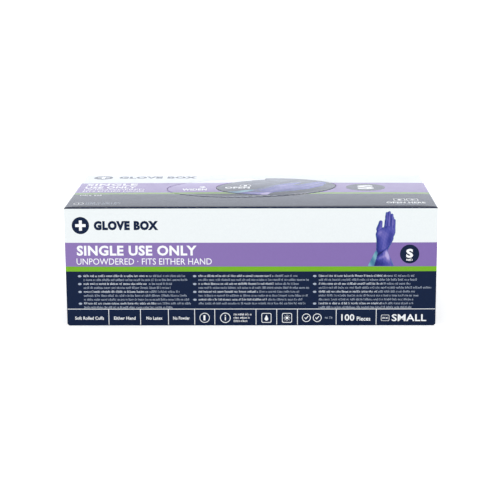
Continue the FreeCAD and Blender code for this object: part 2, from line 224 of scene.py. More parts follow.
def scuffed(nodes, colour, crease_value, crease_at, half_width):
    """A colour with fine cracks in the ink along a crease, where the white board shows."""
    off = nodes.maths("ABSOLUTE", nodes.maths("SUBTRACT", crease_value, crease_at))
    near = nodes.spread(off, 0.0, half_width, 1.0, 0.0)
    flecks = nodes.spread(nodes.cloud(1500.0, 4.0, (0.35, 1.0, 1.0)), 0.56, 0.66)
    share = nodes.maths("MULTIPLY", nodes.maths("MULTIPLY", near, flecks), SCUFFING)
    return nodes.mix(share, colour, linear(WHITE_INK))


# Heights of the print's bands on the walls, and their places across the top, in millimetres. The top's white
# band is painted shade: a greyer copy of the white ink.
WALL_BANDS = ((36.9, GREEN_INK), (40.5, PURPLE_INK), (56.5, WHITE_INK))
TOP_BANDS = ((-17.3, TOP_GREEN_INK), (-10.6, PURPLE_INK), (26.6, TOP_WHITE_PAINTED_SHADE))
TOP_INK_WRAPS_TO = HEIGHT - 0.8
NAVY_WRAPS_TO = 0.2
# How far the walls' print runs on past a crease onto the dust flaps.
PRINT_PAST_CREASE = 4.0


def wall_colour(nodes):
    """The bands round the walls, by height; the purple deepens a little from left to right."""
    height = nodes.maths("DIVIDE", nodes.axis("Z"), HEIGHT * MM)
    bands = nodes.bands(height, NAVY_INK, [(level / HEIGHT, ink) for level, ink in WALL_BANDS])
    along = nodes.spread(nodes.axis("X"), -HALF_LENGTH * MM, HALF_LENGTH * MM)
    purple = nodes.mix(along, linear(PURPLE_LEFT_INK), linear(PURPLE_RIGHT_INK))
    above = nodes.maths("GREATER_THAN", nodes.axis("Z"), WALL_BANDS[1][0] * MM)
    below = nodes.maths("LESS_THAN", nodes.axis("Z"), WALL_BANDS[2][0] * MM)
    return nodes.mix(nodes.maths("MULTIPLY", above, below), bands, purple)


def wall_print():
    """Print of the front, the back and the ends."""
    nodes = Nodes("wall_print")
    colour = scuffed(nodes, wall_colour(nodes), nodes.axis("Z"), HEIGHT * MM, 0.0012)
    return varnish(nodes, colour)


def top_print_painted_shade():
    """Print of the top, which wraps a little way over its front and back creases; its white band is greyed as
    painted shade.
    """
    nodes = Nodes("top_print_painted_shade")
    across = nodes.spread(nodes.axis("Y"), -HALF_DEPTH * MM, HALF_DEPTH * MM)
    stops = [((place + HALF_DEPTH) / (2 * HALF_DEPTH), ink) for place, ink in TOP_BANDS]
    colour = nodes.bands(across, NAVY_INK, stops)
    over_edge = nodes.maths("LESS_THAN", nodes.axis("Z"), TOP_INK_WRAPS_TO * MM)
    colour = nodes.mix(over_edge, colour, linear(WHITE_INK))
    colour = scuffed(nodes, colour, nodes.axis("Z"), (HEIGHT - 0.35) * MM, 0.0004)
    return varnish(nodes, colour)


def bottom_print():
    """Print of the underside: white, with the walls' navy wrapping over its creases."""
    nodes = Nodes("bottom_print")
    over_edge = nodes.maths("GREATER_THAN", nodes.axis("Z"), NAVY_WRAPS_TO * MM)
    return varnish(nodes, nodes.mix(over_edge, linear(WHITE_INK), linear(NAVY_INK)))


def plain_print(name, ink):
    """One flat ink."""
    nodes = Nodes(name)
    return varnish(nodes, linear(ink))


def raw_board(name="raw_board", shade=(203, 198, 188)):
    """The uncoated side of the board, and its cut edges: matt, fibrous and a little speckled."""
    nodes = Nodes(name)
    fibre = nodes.spread(nodes.cloud(1300.0, 6.0, (0.25, 1.0, 1.0)), 0.3, 0.7)
    patches = nodes.spread(nodes.cloud(60.0, 3.0), 0.3, 0.7)
    dark = linear(tuple(int(c * 0.86) for c in shade))
    light = linear(shade)
    colour = nodes.mix(nodes.maths("MULTIPLY", fibre, patches), light, dark)
    specks = nodes.spread(nodes.cloud(2600.0, 2.0), 0.68, 0.74)
    colour = nodes.mix(nodes.maths("MULTIPLY", specks, 0.5), colour, linear((120, 108, 92)))
    relief = nodes.bump(fibre, 0.00003)
    return nodes.finish(Base_Color=colour, Roughness=0.88, Specular_IOR_Level=0.25, Normal=relief)


def hot_melt():
    """Amber hot-melt glue."""
    nodes = Nodes("hot_melt")
    thick = nodes.spread(nodes.cloud(300.0, 3.0), 0.3, 0.7)
    colour = nodes.mix(thick, linear((226, 200, 142)), linear((196, 160, 96)))
    return nodes.finish(Base_Color=colour, Roughness=0.3, Normal=nodes.bump(thick, 0.00005))


def nitrile():
    """Thin violet-blue nitrile film: satin, finely pebbled, paler where it is stretched."""
    nodes = Nodes("nitrile")
    patches = nodes.spread(nodes.cloud(45.0, 4.0), 0.3, 0.7)
    colour = nodes.mix(patches, linear((98, 92, 178)), linear((122, 112, 198)))
    streaks = nodes.spread(nodes.cloud(260.0, 4.0, (0.3, 1.0, 1.0)), 0.45, 0.75)
    colour = nodes.mix(nodes.maths("MULTIPLY", streaks, 0.35), colour, linear((142, 134, 210)))
    satin = nodes.spread(nodes.cloud(90.0), 0.3, 0.7, 0.34, 0.5)
    pebble = nodes.make("ShaderNodeTexVoronoi", Vector=nodes.place, Scale=1400.0).outputs["Distance"]
    creases = nodes.bump(nodes.cloud(380.0, 5.0, (0.5, 1.0, 1.0)), 0.00016)
    return nodes.finish(
        Base_Color=colour,
        Roughness=satin,
        Specular_IOR_Level=0.45,
        Subsurface_Weight=0.12,
        Subsurface_Scale=0.001,
        Normal=nodes.bump(pebble, 0.00002, creases),
    )


def dust_print():
    """A dust flap's print: the walls' bands run a little way past the crease, and then the board is bare."""
    nodes = Nodes("dust_print")
    out = nodes.maths("ABSOLUTE", nodes.axis("Y"))
    past = nodes.maths("LESS_THAN", out, (HALF_DEPTH - PRINT_PAST_CREASE) * MM)
    return varnish(nodes, nodes.mix(past, wall_colour(nodes), linear(WHITE_INK)))


WALL = wall_print()
TOP = top_print_painted_shade()
COATED = plain_print("coated_board", WHITE_INK)
DUST = dust_print()
BOTTOM = bottom_print()
NAVY = plain_print("navy_print", NAVY_INK)
RAW = raw_board()
EDGE = raw_board("cut_edge", (226, 223, 216))
GLUE = hot_melt()
NITRILE = nitrile()


# ---------------------------------------------------------------- meshes
def new_piece(name, points, faces, materials, face_materials=None, sharp=math.radians(35)):
    """A mesh object from points in millimetres, smooth but for edges sharper than an angle."""
    mesh = bpy.data.meshes.new(name)
    mesh.from_pydata([Vector(point) * MM for point in points], [], faces)
    for material in materials:
        mesh.materials.append(material)
    if face_materials:
        mesh.polygons.foreach_set("material_index", face_materials)
    work = bmesh.new()
    work.from_mesh(mesh)
    bmesh.ops.recalc_face_normals(work, faces=work.faces)
    for face in work.faces:
        face.smooth = True
    for edge in work.edges:
        edge.smooth = edge.calc_face_angle(0.0) < sharp
    work.to_mesh(mesh)
    work.free()
    piece = bpy.data.objects.new(name, mesh)
    bpy.context.scene.collection.objects.link(piece)
    return piece


def boundary_edges(faces):
    """The directed edges that only one face uses."""
    seen = {}
    for face in faces:
        for start, end in zip(face, face[1:] + face[:1]):
            seen[(start, end)] = True
    return [edge for edge in seen if (edge[1], edge[0]) not in seen]


def thick_piece(name, outer, inner, faces, *materials):
    """A closed sheet between matching points. materials is one, or those of its outside, inside and rim."""
    count = len(outer)
    back = [tuple(index + count for index in reversed(face)) for face in faces]
    rim = [(end, start, start + count, end + count) for start, end in boundary_edges(faces)]
    kinds = [0] * len(faces) + [1] * len(back) + [2] * len(rim) if len(materials) > 1 else None
    return new_piece(name, outer + inner, faces + back + rim, materials, kinds)


def board_piece(name, flat, faces, surface, printed):
    """A sheet of board with real thickness.

    flat holds each point's two places on the unfolded sheet, and how far its printed side is pressed in.
    surface gives the folded point for two places and a depth below the print.
    """
    outer = [surface(u, v, press) for u, v, press in flat]
    inner = [surface(u, v, BOARD) for u, v, press in flat]
    return thick_piece(name, outer, inner, faces, printed, RAW, EDGE)


def grid(us, vs):
    """Flat points and quads over two lists of places."""
    return [(u, v, 0.0) for u in us for v in vs], strip_faces(len(us), len(vs))


def strip_faces(rows, wide):
    """The quads of rows of points, each row as wide as the last."""
    return [
        (i * wide + j, (i + 1) * wide + j, (i + 1) * wide + j + 1, i * wide + j + 1)
        for i in range(rows - 1)
        for j in range(wide - 1)
    ]


def ring_faces(around, rings):
    """The faces of rings of points about a middle point, which comes first."""
    faces = [(0, 1 + k, 1 + (k + 1) % around) for k in range(around)]
    for r in range(rings - 1):
        for k in range(around):
            here, there = 1 + r * around + k, 1 + r * around + (k + 1) % around
            faces.append((here, here + around, there + around, there))
    return faces


def steps(start, end, count):
    """count + 1 even places from start to end."""
    return [start + (end - start) * i / count for i in range(count + 1)]


def end_name(side):
    """The name of the end on a side: +1 is the right, -1 the left."""
    return "right" if side > 0 else "left"


def stands_for(piece, body, node):
    """The piece rides on a body in place of a CAD node, which is hidden."""
    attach(piece, body)
    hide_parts(node)
    return piece


# ---------------------------------------------------------------- how the filled carton bows
# How far the top's middle stands above its creases, they above the CAD top, and a long wall stands out.
CROWN = 0.15
CREASE_RISE = 0.15
WALL_BOW = 0.45


def along(x):
    """1 along most of the carton's length, falling to 0 at its ends."""
    return max(0.0, 1.0 - abs(x / HALF_LENGTH) ** 7)


def crown(x, y):
    """How far the top stands above its creases' level."""
    across = max(0.0, 1.0 - abs(y / HALF_DEPTH) ** 2.4)
    return along(x) * (CREASE_RISE + CROWN * across)


def top_surface(x, s, depth):
    """A point of the top; s runs across it and on round its front and back bends."""
    over = abs(s) - FLAT_HALF_DEPTH
    if over <= 0.0:
        return (x, s, HEIGHT - depth + crown(x, s))
    side = math.copysign(1.0, s)
    turn = min(over / BEND, math.pi / 2)
    radius = BEND - depth
    y = side * (FLAT_HALF_DEPTH + radius * math.sin(turn))
    return (x, y, HEIGHT - BEND + radius * math.cos(turn) + crown(x, side * FLAT_HALF_DEPTH))


def bottom_surface(x, s, depth):
    """A point of the bottom; its front bend meets the front wall and its back bend the glue flap."""
    back = BOTTOM_HIGH.y
    middle = (back - HALF_DEPTH) / 2
    over = abs(s) - (back + HALF_DEPTH) / 2 + BEND
    if over <= 0.0:
        return (x, middle + s, depth)
    side = math.copysign(1.0, s)
    turn = min(over / BEND, math.pi / 2)
    radius = BEND - depth
    reach = (back + HALF_DEPTH) / 2 - BEND + radius * math.sin(turn)
    return (x, middle + side * reach, BEND - radius * math.cos(turn))


def bow(x, z):
    """How far a long wall stands out."""
    return WALL_BOW * along(x) * math.sin(math.pi * min(max(z / HEIGHT, 0.0), 1.0))


def wall_surface(facing):
    """The surface of a long wall: facing is -1 for the front and 1 for the back."""
    def surface(x, z, depth):
        out = HALF_DEPTH + bow(x, z) - depth
        return (x, facing * out, z + crown(x, facing * FLAT_HALF_DEPTH) * z / HEIGHT)
    return surface


front_surface, back_surface = wall_surface(-1), wall_surface(1)


# ---------------------------------------------------------------- the oval's outlines
def along_axes(oval, x, y):
    """A place measured from a tilted oval's middle along its own axes."""
    c, s = math.cos(oval["tilt"]), math.sin(oval["tilt"])
    dx, dy = x - oval["centre"][0], y - oval["centre"][1]
    return dx * c + dy * s, dy * c - dx * s


def oval_point(oval, turn, inset=0.0):
    """A point of a tilted oval, and the outward direction there."""
    a, b = (axis - inset for axis in oval["axes"])
    c, s = math.cos(oval["tilt"]), math.sin(oval["tilt"])
    u, v = a * math.cos(turn), b * math.sin(turn)
    nu, nv = math.cos(turn) / a, math.sin(turn) / b
    length = math.hypot(nu, nv)
    x = oval["centre"][0] + u * c - v * s
    y = oval["centre"][1] + u * s + v * c
    return (x, y), ((nu * c - nv * s) / length, (nu * s + nv * c) / length)


def inside(oval, point, inset=0.0):
    """Whether a point is in a tilted oval."""
    a, b = (axis - inset for axis in oval["axes"])
    u, v = along_axes(oval, *point)
    return (u / a) ** 2 + (v / b) ** 2 < 1.0


def turn_where(test, start, end):
    """The turn between start and end at which a test changes."""
    at_start = test(start)
    for _ in range(40):
        middle = (start + end) / 2
        if test(middle) == at_start:
            start = middle
        else:
            end = middle
    return (start + end) / 2


def nick_at(turn):
    """1 on an uncut bridge of the outer perforation, and 0 between two of them."""
    pitch = 2 * math.pi / NICKS
    a, b = OVAL["axes"]
    speed = math.hypot(a * math.sin(turn), b * math.cos(turn))
    off = abs((turn / pitch) % 1.0 - 0.5) * pitch * speed
    return 1.0 if off < NICK_WIDTH / 2 else 0.0


# Distances from a cut edge at which the sheet has points, and how far the knife has pressed its print in.
EDGE_STEPS = (0.0, 0.05, 0.12, 0.22, 0.36, 0.7)
PRESS = 0.3


def pressed(distance):
    """How far the printed side is pressed in at a distance from a cut."""
    return PRESS * max(0.0, 1.0 - distance / EDGE_STEPS[4]) ** 2


# How much further out the ends of the top's and the bottom's bends reach, to close the corners.
END_FLARE = 0.8


def make_top_panel():
    """The top with its oval opening: rings from the cut outwards, then the two bends."""
    around = NICKS * 12
    rings = list(EDGE_STEPS) + [1.6, 3.5]
    spokes = (0.12, 0.26, 0.42, 0.58, 0.74, 0.88, 1.0)
    corners = [(sx * TOP_END, sy * FLAT_HALF_DEPTH) for sx in (-1, 1) for sy in (-1, 1)]
    edge = []
    for k in range(around):
        turn = 2 * math.pi * (k + 0.5) / around
        point, out = oval_point(OVAL, turn)
        dx, dy = point[0] - OVAL["centre"][0], point[1] - OVAL["centre"][1]
        reach = min(
            (math.copysign(TOP_END, dx) - OVAL["centre"][0]) / dx,
            (math.copysign(FLAT_HALF_DEPTH, dy) - OVAL["centre"][1]) / dy,
        )
        target = [OVAL["centre"][0] + dx * reach, OVAL["centre"][1] + dy * reach]
        edge.append((turn, point, out, target))
    for corner in corners:
        nearest = min(edge, key=lambda e: math.dist(e[3], corner))
        nearest[3][:] = corner
    flat, wide = [], len(rings) + len(spokes)
    for turn, point, out, target in edge:
        nick = nick_at(turn)
        for distance in rings:
            off = distance if distance else -0.9 * KERF * nick
            press = pressed(distance) * (1.0 - nick)
            flat.append((point[0] + out[0] * off, point[1] + out[1] * off, press))
        last = flat[-1]
        for share in spokes:
            x = last[0] + (target[0] - last[0]) * share
            y = last[1] + (target[1] - last[1]) * share
            flat.append((x, y, 0.0))
    faces = []
    for k in range(around):
        here, there = k * wide, (k + 1) % around * wide
        for j in range(wide - 1):
            faces.append((here + j, here + j + 1, there + j + 1, there + j))
    bend_rows = 6
    for side in (-1, 1):
        rim = [k for k in range(around) if abs(edge[k][3][1] - side * FLAT_HALF_DEPTH) < 1e-6]
        gap = next(i for i, k in enumerate(rim) if (rim[i - 1] + 1) % around != k)
        rim = rim[gap:] + rim[:gap]
        rows = [[k * wide + wide - 1 for k in rim]]
        for row in range(1, bend_rows + 1):
            s = side * (FLAT_HALF_DEPTH + BEND_ARC * row / bend_rows)
            rows.append(range(len(flat), len(flat) + len(rim)))
            stretch = 1.0 + END_FLARE / TOP_END * row / bend_rows
            flat.extend((edge[k][3][0] * stretch, s, 0.0) for k in rim)
        for near, far in zip(rows, rows[1:]):
            for i in range(len(rim) - 1):
                faces.append((near[i], far[i], far[i + 1], near[i + 1]))
    piece = board_piece("top_sheet", flat, faces, top_surface, TOP)
    return stands_for(piece, CARTON, "top_panel")


def resample(points, count):
    """count + 1 points evenly along an open line, each (x, y, nick)."""
    lengths = [0.0]
    for a, b in zip(points, points[1:]):
        lengths.append(lengths[-1] + math.dist(a[:2], b[:2]))
    even = np.linspace(0.0, lengths[-1], count + 1)
    columns = [np.interp(even, lengths, [p[i] for p in points]) for i in range(3)]
    return list(zip(*columns))


def arc_line(oval, start, end, inset, nicked):
    """Points along an oval from one turn to another, each (x, y, nick)."""
    count = 700
    line = []
    for i in range(count + 1):
        turn = start + (end - start) * i / count
        (x, y), _ = oval_point(oval, turn, inset)
        line.append((x, y, nick_at(turn) if nicked else 0.0))
    return line


def tear_outlines(gap):
    """The outer and the dividing line of a tear panel: gap is +1 for the first panel and -1 for the second.

    Both lines run from the step at the back to the place at the front right where the two ovals cross.
    """
    half = gap * KERF / 2
    step = STEP_X + half
    side = 1.0 if gap > 0 else -1.0
    top_turn = turn_where(lambda t: oval_point(OVAL, t, KERF)[0][0] > step, 0.0, math.pi)
    low = -math.pi / 2
    cross = turn_where(lambda t: inside(FIRST_OVAL, oval_point(OVAL, t, KERF)[0], half), 0.0, low)
    first_top = turn_where(lambda t: oval_point(FIRST_OVAL, t, half)[0][0] > step, 0.0, math.pi)
    first_cross = turn_where(lambda t: inside(OVAL, oval_point(FIRST_OVAL, t, half)[0], KERF), low, 0.0)
    outer_end = cross if side > 0 else cross + 2 * math.pi
    outer = arc_line(OVAL, top_turn, outer_end, KERF, False)
    start, corner = outer[0], oval_point(FIRST_OVAL, first_top, half)[0]
    step_line = [(step, start[1] + (corner[1] - start[1]) * i / 40, 0.0) for i in range(40)]
    divide = step_line + arc_line(FIRST_OVAL, first_top, first_cross + 2 * math.pi, half, False)
    return outer, divide


def inward(line, towards):
    """The unit directions across a line, on the side of the matching points of another line."""
    out = []
    for i, point in enumerate(line):
        before, after = line[max(i - 1, 0)], line[min(i + 1, len(line) - 1)]
        dx, dy = after[0] - before[0], after[1] - before[1]
        length = math.hypot(dx, dy) or 1.0
        nx, ny = -dy / length, dx / length
        to_x, to_y = towards[i][0] - point[0], towards[i][1] - point[1]
        sign = 1.0 if nx * to_x + ny * to_y >= 0 else -1.0
        out.append((nx * sign, ny * sign))
    return out


# How far a tear panel's front edge springs up between two bridges, how far in from it that fades out, and the
# height of the panel's dome.
EDGE_LIFT = 0.2
LIFT_REACH = 6.0
TEAR_DOME = 0.35


def tear_lift(x, y):
    """How far a tear panel stands up: domed, and sprung out at its front edge between the bridges."""
    a, b = OVAL["axes"]
    u, v = along_axes(OVAL, x, y)
    turn = math.atan2(v / b, u / a)
    share = math.hypot(u / a, v / b) or 1.0
    inset = math.hypot(u, v) * (1.0 / share - 1.0)
    facing = max(0.0, -math.sin(turn))
    fade = min(max(1.0 - inset / LIFT_REACH, 0.0), 1.0)
    free = abs(math.cos(turn * NICKS / 2))
    dome = TEAR_DOME * max(0.0, 1.0 - share**2)
    return dome + EDGE_LIFT * facing * fade * (0.25 + 0.75 * free * fade)


def tear_surface(x, y, depth):
    """A point of the tear panels."""
    return top_surface(x, y, depth - tear_lift(x, y))


def make_tear_panel(name, gap, node, printed):
    """A tear panel as rows of points from its outer line across to the dividing line."""
    rows = 420
    outer, divide = (resample(line, rows) for line in tear_outlines(gap))
    outer_in, divide_in = inward(outer, divide), inward(divide, outer)
    middle = (0.12, 0.25, 0.4, 0.5, 0.6, 0.75, 0.88)
    steps_in = EDGE_STEPS + (1.6,)
    flat = []
    kept = range(2, rows - 1)
    for i in kept:
        a, b = outer[i], divide[i]
        squeeze = min(1.0, math.dist(a[:2], b[:2]) / (2.6 * steps_in[-1]))
        lines = []
        for start, inwards in ((a, outer_in[i]), (b, divide_in[i])):
            line = []
            for distance in steps_in:
                off = distance * squeeze
                x, y = start[0] + inwards[0] * off, start[1] + inwards[1] * off
                line.append((x, y, pressed(distance) * squeeze))
            lines.append(line)
        left, right = lines
        start, end = left[-1], right[-1]
        dx, dy = end[0] - start[0], end[1] - start[1]
        between = [(start[0] + dx * share, start[1] + dy * share, 0.0) for share in middle]
        flat.extend(left + between + right[::-1])
    wide = 2 * len(steps_in) + len(middle)
    faces = strip_faces(len(kept), wide)
    return stands_for(board_piece(name, flat, faces, tear_surface, printed), node, node)


def make_walls():
    """The front, the back and the bottom."""
    ends = FRONT_HIGH.x
    us = steps(-ends, ends, 48)
    flat, faces = grid(us, steps(BEND, HEIGHT - BEND, 20))
    stands_for(board_piece("front_sheet", flat, faces, front_surface, WALL), CARTON, "front_panel")
    back_low = node_box("back_panel")[0].z
    flat, faces = grid(us, steps(back_low, HEIGHT - BEND, 20))
    stands_for(board_piece("back_sheet", flat, faces, back_surface, WALL), CARTON, "back_panel")
    half = (BOTTOM_HIGH.y + HALF_DEPTH) / 2
    bend = steps(half - BEND, half - BEND + BEND_ARC, 6)
    across = [-s for s in reversed(bend)] + steps(-half + BEND, half - BEND, 12)[1:-1] + bend
    reach = [1.0 + END_FLARE / BOTTOM_HIGH.x * max(0.0, abs(s) - half + BEND) / BEND_ARC for s in across]
    columns = steps(-BOTTOM_HIGH.x, BOTTOM_HIGH.x, 24)
    flat = [(x * r, s, 0.0) for x in columns for s, r in zip(across, reach)]
    faces = strip_faces(len(columns), len(across))
    stands_for(board_piece("bottom_sheet", flat, faces, bottom_surface, BOTTOM), CARTON, "bottom_panel")


def fitted_grid(shares, levels, half_width):
    """A grid as wide at each level as half_width gives, its columns at shares from -1 to 1."""
    points = [(share * half_width(level), level, 0.0) for share in shares for level in levels]
    return points, strip_faces(len(shares), len(levels))


def cut_corners(edge, free, shoulder, free_edge):
    """The half width of a flap whose corners are cut off between its shoulder and its free end."""
    def half_width(level):
        share = (level - shoulder) / (free - shoulder)
        return edge + (free_edge - edge) * min(max(share, 0.0), 1.0)
    return half_width


# ---------------------------------------------------------------- the ends
# The cut at a flap's corner, a dust flap's step inwards and its taper, an outer flap's spring at its corners,
# and the glue flap's taper.
CORNER_CUT = 2.5
JOG = 1.6
DUST_TAPER = 5.0
FLAP_SPRING = 0.25
GLUE_FLAP_TAPER = 8.0


def make_dust_flap(side, facing):
    """A dust flap, which bends round from a wall, steps inwards and tapers. facing is -1 for the front."""
    name = f"{end_name(side)}_{'front' if facing < 0 else 'back'}_dust_flap"
    low, high = node_box(name)
    reach = high.y - low.y
    outermost = max(abs(low.x), abs(high.x))
    resting = min(abs(low.x), abs(high.x)) + BOARD
    bend_end = outermost - BEND
    jog_end = BEND_ARC + math.hypot(JOG, outermost - resting)

    def surface(s, level, depth):
        turn = min(s, BEND_ARC) / BEND
        radius = BEND - depth
        x, y = bend_end + radius * math.sin(turn), HALF_DEPTH - BEND + radius * math.cos(turn)
        if s > BEND_ARC:
            share = min((s - BEND_ARC) / (jog_end - BEND_ARC), 1.0)
            ease = share * share * (3.0 - 2.0 * share)
            x -= (outermost - resting) * ease
            y -= JOG * share
        if s > jog_end:
            y -= s - jog_end
        return (side * x, facing * y, level)

    straight = reach - BEND - JOG
    start = jog_end + BEND
    taper = cut_corners((high.z - low.z) / 2, jog_end + straight, start, (high.z - low.z) / 2 - DUST_TAPER)
    ss = steps(0.0, BEND_ARC, 5) + steps(BEND_ARC, jog_end, 6)[1:]
    ss += [start] + steps(start, jog_end + straight, 8)[1:]
    shares = steps(-1.0, 1.0, 16)
    middle = (low.z + high.z) / 2
    flat = [(s, middle + share * taper(s), 0.0) for s in ss for share in shares]
    piece = board_piece(name + "_sheet", flat, strip_faces(len(ss), len(shares)), surface, DUST)
    stands_for(piece, CARTON, name)


def make_end_flap(side, which, printed):
    """An outer or inner flap, its free corners cut off and sprung out a little."""
    name = f"{end_name(side)}_{which}_flap"
    low, high = node_box(name)
    hangs = which == "outer"
    crease, free = (high.z, low.z) if hangs else (low.z, high.z)
    shoulder = free + math.copysign(CORNER_CUT, crease - free)
    half_width = cut_corners(high.y, free, shoulder, high.y - CORNER_CUT / 2)
    outside = max(abs(low.x), abs(high.x))

    def surface(y, z, depth):
        towards_free = abs(z - crease) / abs(free - crease)
        spring = FLAP_SPRING * towards_free**3 * (y / high.y) ** 4 if hangs else 0.0
        return (side * (outside - depth + spring), y, z)

    levels = steps(crease, shoulder, 16) + steps(shoulder, free, 2)[1:]
    flat, faces = fitted_grid(steps(-1.0, 1.0, 24), levels, half_width)
    piece = board_piece(name + "_sheet", flat, faces, surface, printed)
    stands_for(piece, name, name)
    return surface


def make_crease(side, which, printed):
    """The bend that joins an end flap to the top or the bottom."""
    name = f"{end_name(side)}_{which}_flap"
    low, high = node_box(name)
    top = which == "outer"
    panel_end = TOP_END if top else BOTTOM_HIGH.x
    flap_start = high.z if top else low.z
    rise = 1.0 if top else -1.0
    outside = max(abs(low.x), abs(high.x))
    radius = outside - panel_end
    half = FLAT_HALF_DEPTH if top else high.y

    def surface(y, turn, depth):
        r = radius - depth
        lift = crown(panel_end, y) * math.cos(turn) if top else 0.0
        return (side * (panel_end + r * math.sin(turn)), y, flap_start + rise * r * math.cos(turn) + lift)

    flat, faces = grid(steps(-half, half, 24), steps(0.0, math.pi / 2, 8))
    piece = board_piece(name + "_crease", flat, faces, surface, printed)
    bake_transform(piece)


def make_glue_flap():
    """The strip of the seam, inside the back wall."""
    low, high = node_box("glue_flap")

    def half_width(level):
        return high.x - GLUE_FLAP_TAPER * (level - low.z) / (high.z - low.z)

    flat, faces = fitted_grid(steps(-1.0, 1.0, 40), steps(low.z, high.z, 6), half_width)

    def surface(x, z, depth):
        return (x, high.y - depth, z)

    stands_for(board_piece("glue_flap_sheet", flat, faces, surface, COATED), CARTON, "glue_flap")


def ragged_disc(centre, radius, seed):
    """Flat points and faces of a round spot with an uneven edge, as rings about its middle."""
    around, rings = 36, (0.35, 0.7, 0.9, 1.0)
    points = [(centre[0], centre[1], 0.0)]
    for ring in rings:
        for k in range(around):
            turn = 2 * math.pi * k / around
            ripple = noise.noise(Vector((math.cos(turn) * 1.4, math.sin(turn) * 1.4, seed)))
            reach = radius * ring * (1.0 + 0.22 * ripple)
            points.append((centre[0] + reach * math.cos(turn), centre[1] + reach * math.sin(turn), ring))
    return points, ring_faces(around, len(rings))


def make_glue_spots(node, body):
    """A pair of pressed hot-melt spots between two flaps."""
    low, high = node_box(node)
    side = math.copysign(1.0, low.x)
    radius = (high.z - low.z) / 2
    face, back = max(abs(low.x), abs(high.x)), min(abs(low.x), abs(high.x))
    outer, inner, faces = [], [], []
    for number, y in enumerate((low.y + radius, high.y - radius)):
        points, spot_faces = ragged_disc((y, (low.z + high.z) / 2), radius, 7.3 * number + side)
        start = len(outer)
        outer += [(side * (back + (face - back) * (1.0 - 0.8 * ring**4)), u, v) for u, v, ring in points]
        inner += [(side * back, u, v) for u, v, ring in points]
        faces += [tuple(index + start for index in f) for f in spot_faces]
    piece = thick_piece(node + "_spots", outer, inner, faces, GLUE)
    stands_for(piece, body, node)


def make_seam_glue():
    """The bead of hot melt pressed flat along the seam, its width uneven."""
    low, high = node_box("seam_glue_line")
    middle, half = (low.z + high.z) / 2, (high.z - low.z) / 2
    flat = []
    xs = steps(low.x, high.x, 200)
    shares = (-1.0, -0.8, 0.0, 0.8, 1.0)
    for x in xs:
        width = half * (0.8 + 0.3 * noise.noise(Vector((x * 0.11, 3.1, 0.0))))
        flat += [(x, middle + share * width, share) for share in shares]
    outer = [(x, low.y, z) for x, z, share in flat]
    inner = [(x, high.y - 0.04 * abs(share) ** 4, z) for x, z, share in flat]
    piece = thick_piece("seam_glue_bead", outer, inner, strip_faces(len(xs), len(shares)), GLUE)
    stands_for(piece, CARTON, "seam_glue_line")


# ---------------------------------------------------------------- shapes with a curved outline, as grids
def to_segment(p, q, start, end):
    """Distances from points to a segment whose ends are round and may differ: (x, y, radius) each."""
    (x0, y0, r0), (x1, y1, r1) = start, end
    dx, dy = x1 - x0, y1 - y0
    share = np.clip(((p - x0) * dx + (q - y0) * dy) / (dx * dx + dy * dy), 0.0, 1.0)
    return np.hypot(p - x0 - share * dx, q - y0 - share * dy) - (r0 + (r1 - r0) * share)


def smooth_least(values, softness):
    """The least of several fields, with the joins between them rounded."""
    least = values[0]
    for value in values[1:]:
        share = np.clip(0.5 + 0.5 * (value - least) / softness, 0.0, 1.0)
        least = value * (1 - share) + least * share - softness * share * (1 - share)
    return least


def clipped_grid(field, low, high, step):
    """Points and quads that fill where a field is below 0, with the outline's points moved onto it."""
    across = int(round((high[0] - low[0]) / step)) + 1
    up = int(round((high[1] - low[1]) / step)) + 1
    us, vs = np.linspace(low[0], high[0], across), np.linspace(low[1], high[1], up)
    u, v = (axis.copy() for axis in np.meshgrid(us, vs, indexing="ij"))
    near = field(u, v) < step * 0.35
    cells = near[:-1, :-1] & near[1:, :-1] & near[1:, 1:] & near[:-1, 1:]
    whole = np.pad(cells, 1)
    surrounded = whole[:-1, :-1] & whole[1:, :-1] & whole[:-1, 1:] & whole[1:, 1:]
    used = whole[:-1, :-1] | whole[1:, :-1] | whole[:-1, 1:] | whole[1:, 1:]
    edge = used & ~surrounded
    eps = step * 0.05
    for _ in range(4):
        value = field(u, v)
        du = (field(u + eps, v) - value) / eps
        dv = (field(u, v + eps) - value) / eps
        scale = np.where(edge, value / np.maximum(du * du + dv * dv, 0.2), 0.0)
        scale = np.clip(scale, -0.6 * step, 0.6 * step)
        u, v = u - scale * du, v - scale * dv
    index = np.full(u.shape, -1)
    index[used] = np.arange(int(used.sum()))
    points = np.column_stack([u[used], v[used]])
    i, j = np.nonzero(cells)
    quads = np.column_stack([index[i, j], index[i + 1, j], index[i + 1, j + 1], index[i, j + 1]])
    return points, [tuple(int(k) for k in quad) for quad in quads]


# ---------------------------------------------------------------- gloves
# The stack: how many gloves, the turn and reach of each one's shift, how far it is set off sideways, its
# length, and the rise from one glove to the next.
GLOVES = 100
GLOVES_IN_A_LAYER = 5
GOLDEN_TURN = math.pi * (3.0 - math.sqrt(5.0))
GLOVE_SHIFT = (1.2, 6.0)
GLOVE_OFFSET_Y = 8.0
GLOVE_REACH = 236.0
GLOVE_PITCH = 0.66
# The outline of a glove laid flat, and the bead round its cuff.
CUFF_HALF, WRIST_HALF, PALM_HALF = 46.0, 39.0, 41.0
WRIST_AT, KNUCKLES_AT = 88.0, 157.0
FINGER_RADIUS, FINGER_SPACING = 9.25, 20.5
FINGER_LENGTHS = (70.0, 79.0, 73.0, 57.0)
THUMB_START, THUMB_RADIUS, THUMB_LENGTH, THUMB_ANGLE = (78.0, 20.0), 11.0, 70.0, math.radians(27.0)
CUFF_BEAD = 0.32
# The thickness of the film laid flat, halved, and how far in from its edge it swells to that.
FILM_HALF, FILM_EDGE = 0.21, 2.2
# How high the stack's slow wave grows, the seed of the top gloves' folds, and their (width, height).
SWELL = 1.6
FOLD_SEED = 2.0
FOLDS = ((46.0, 3.2), (21.0, 1.7), (9.5, 0.6))


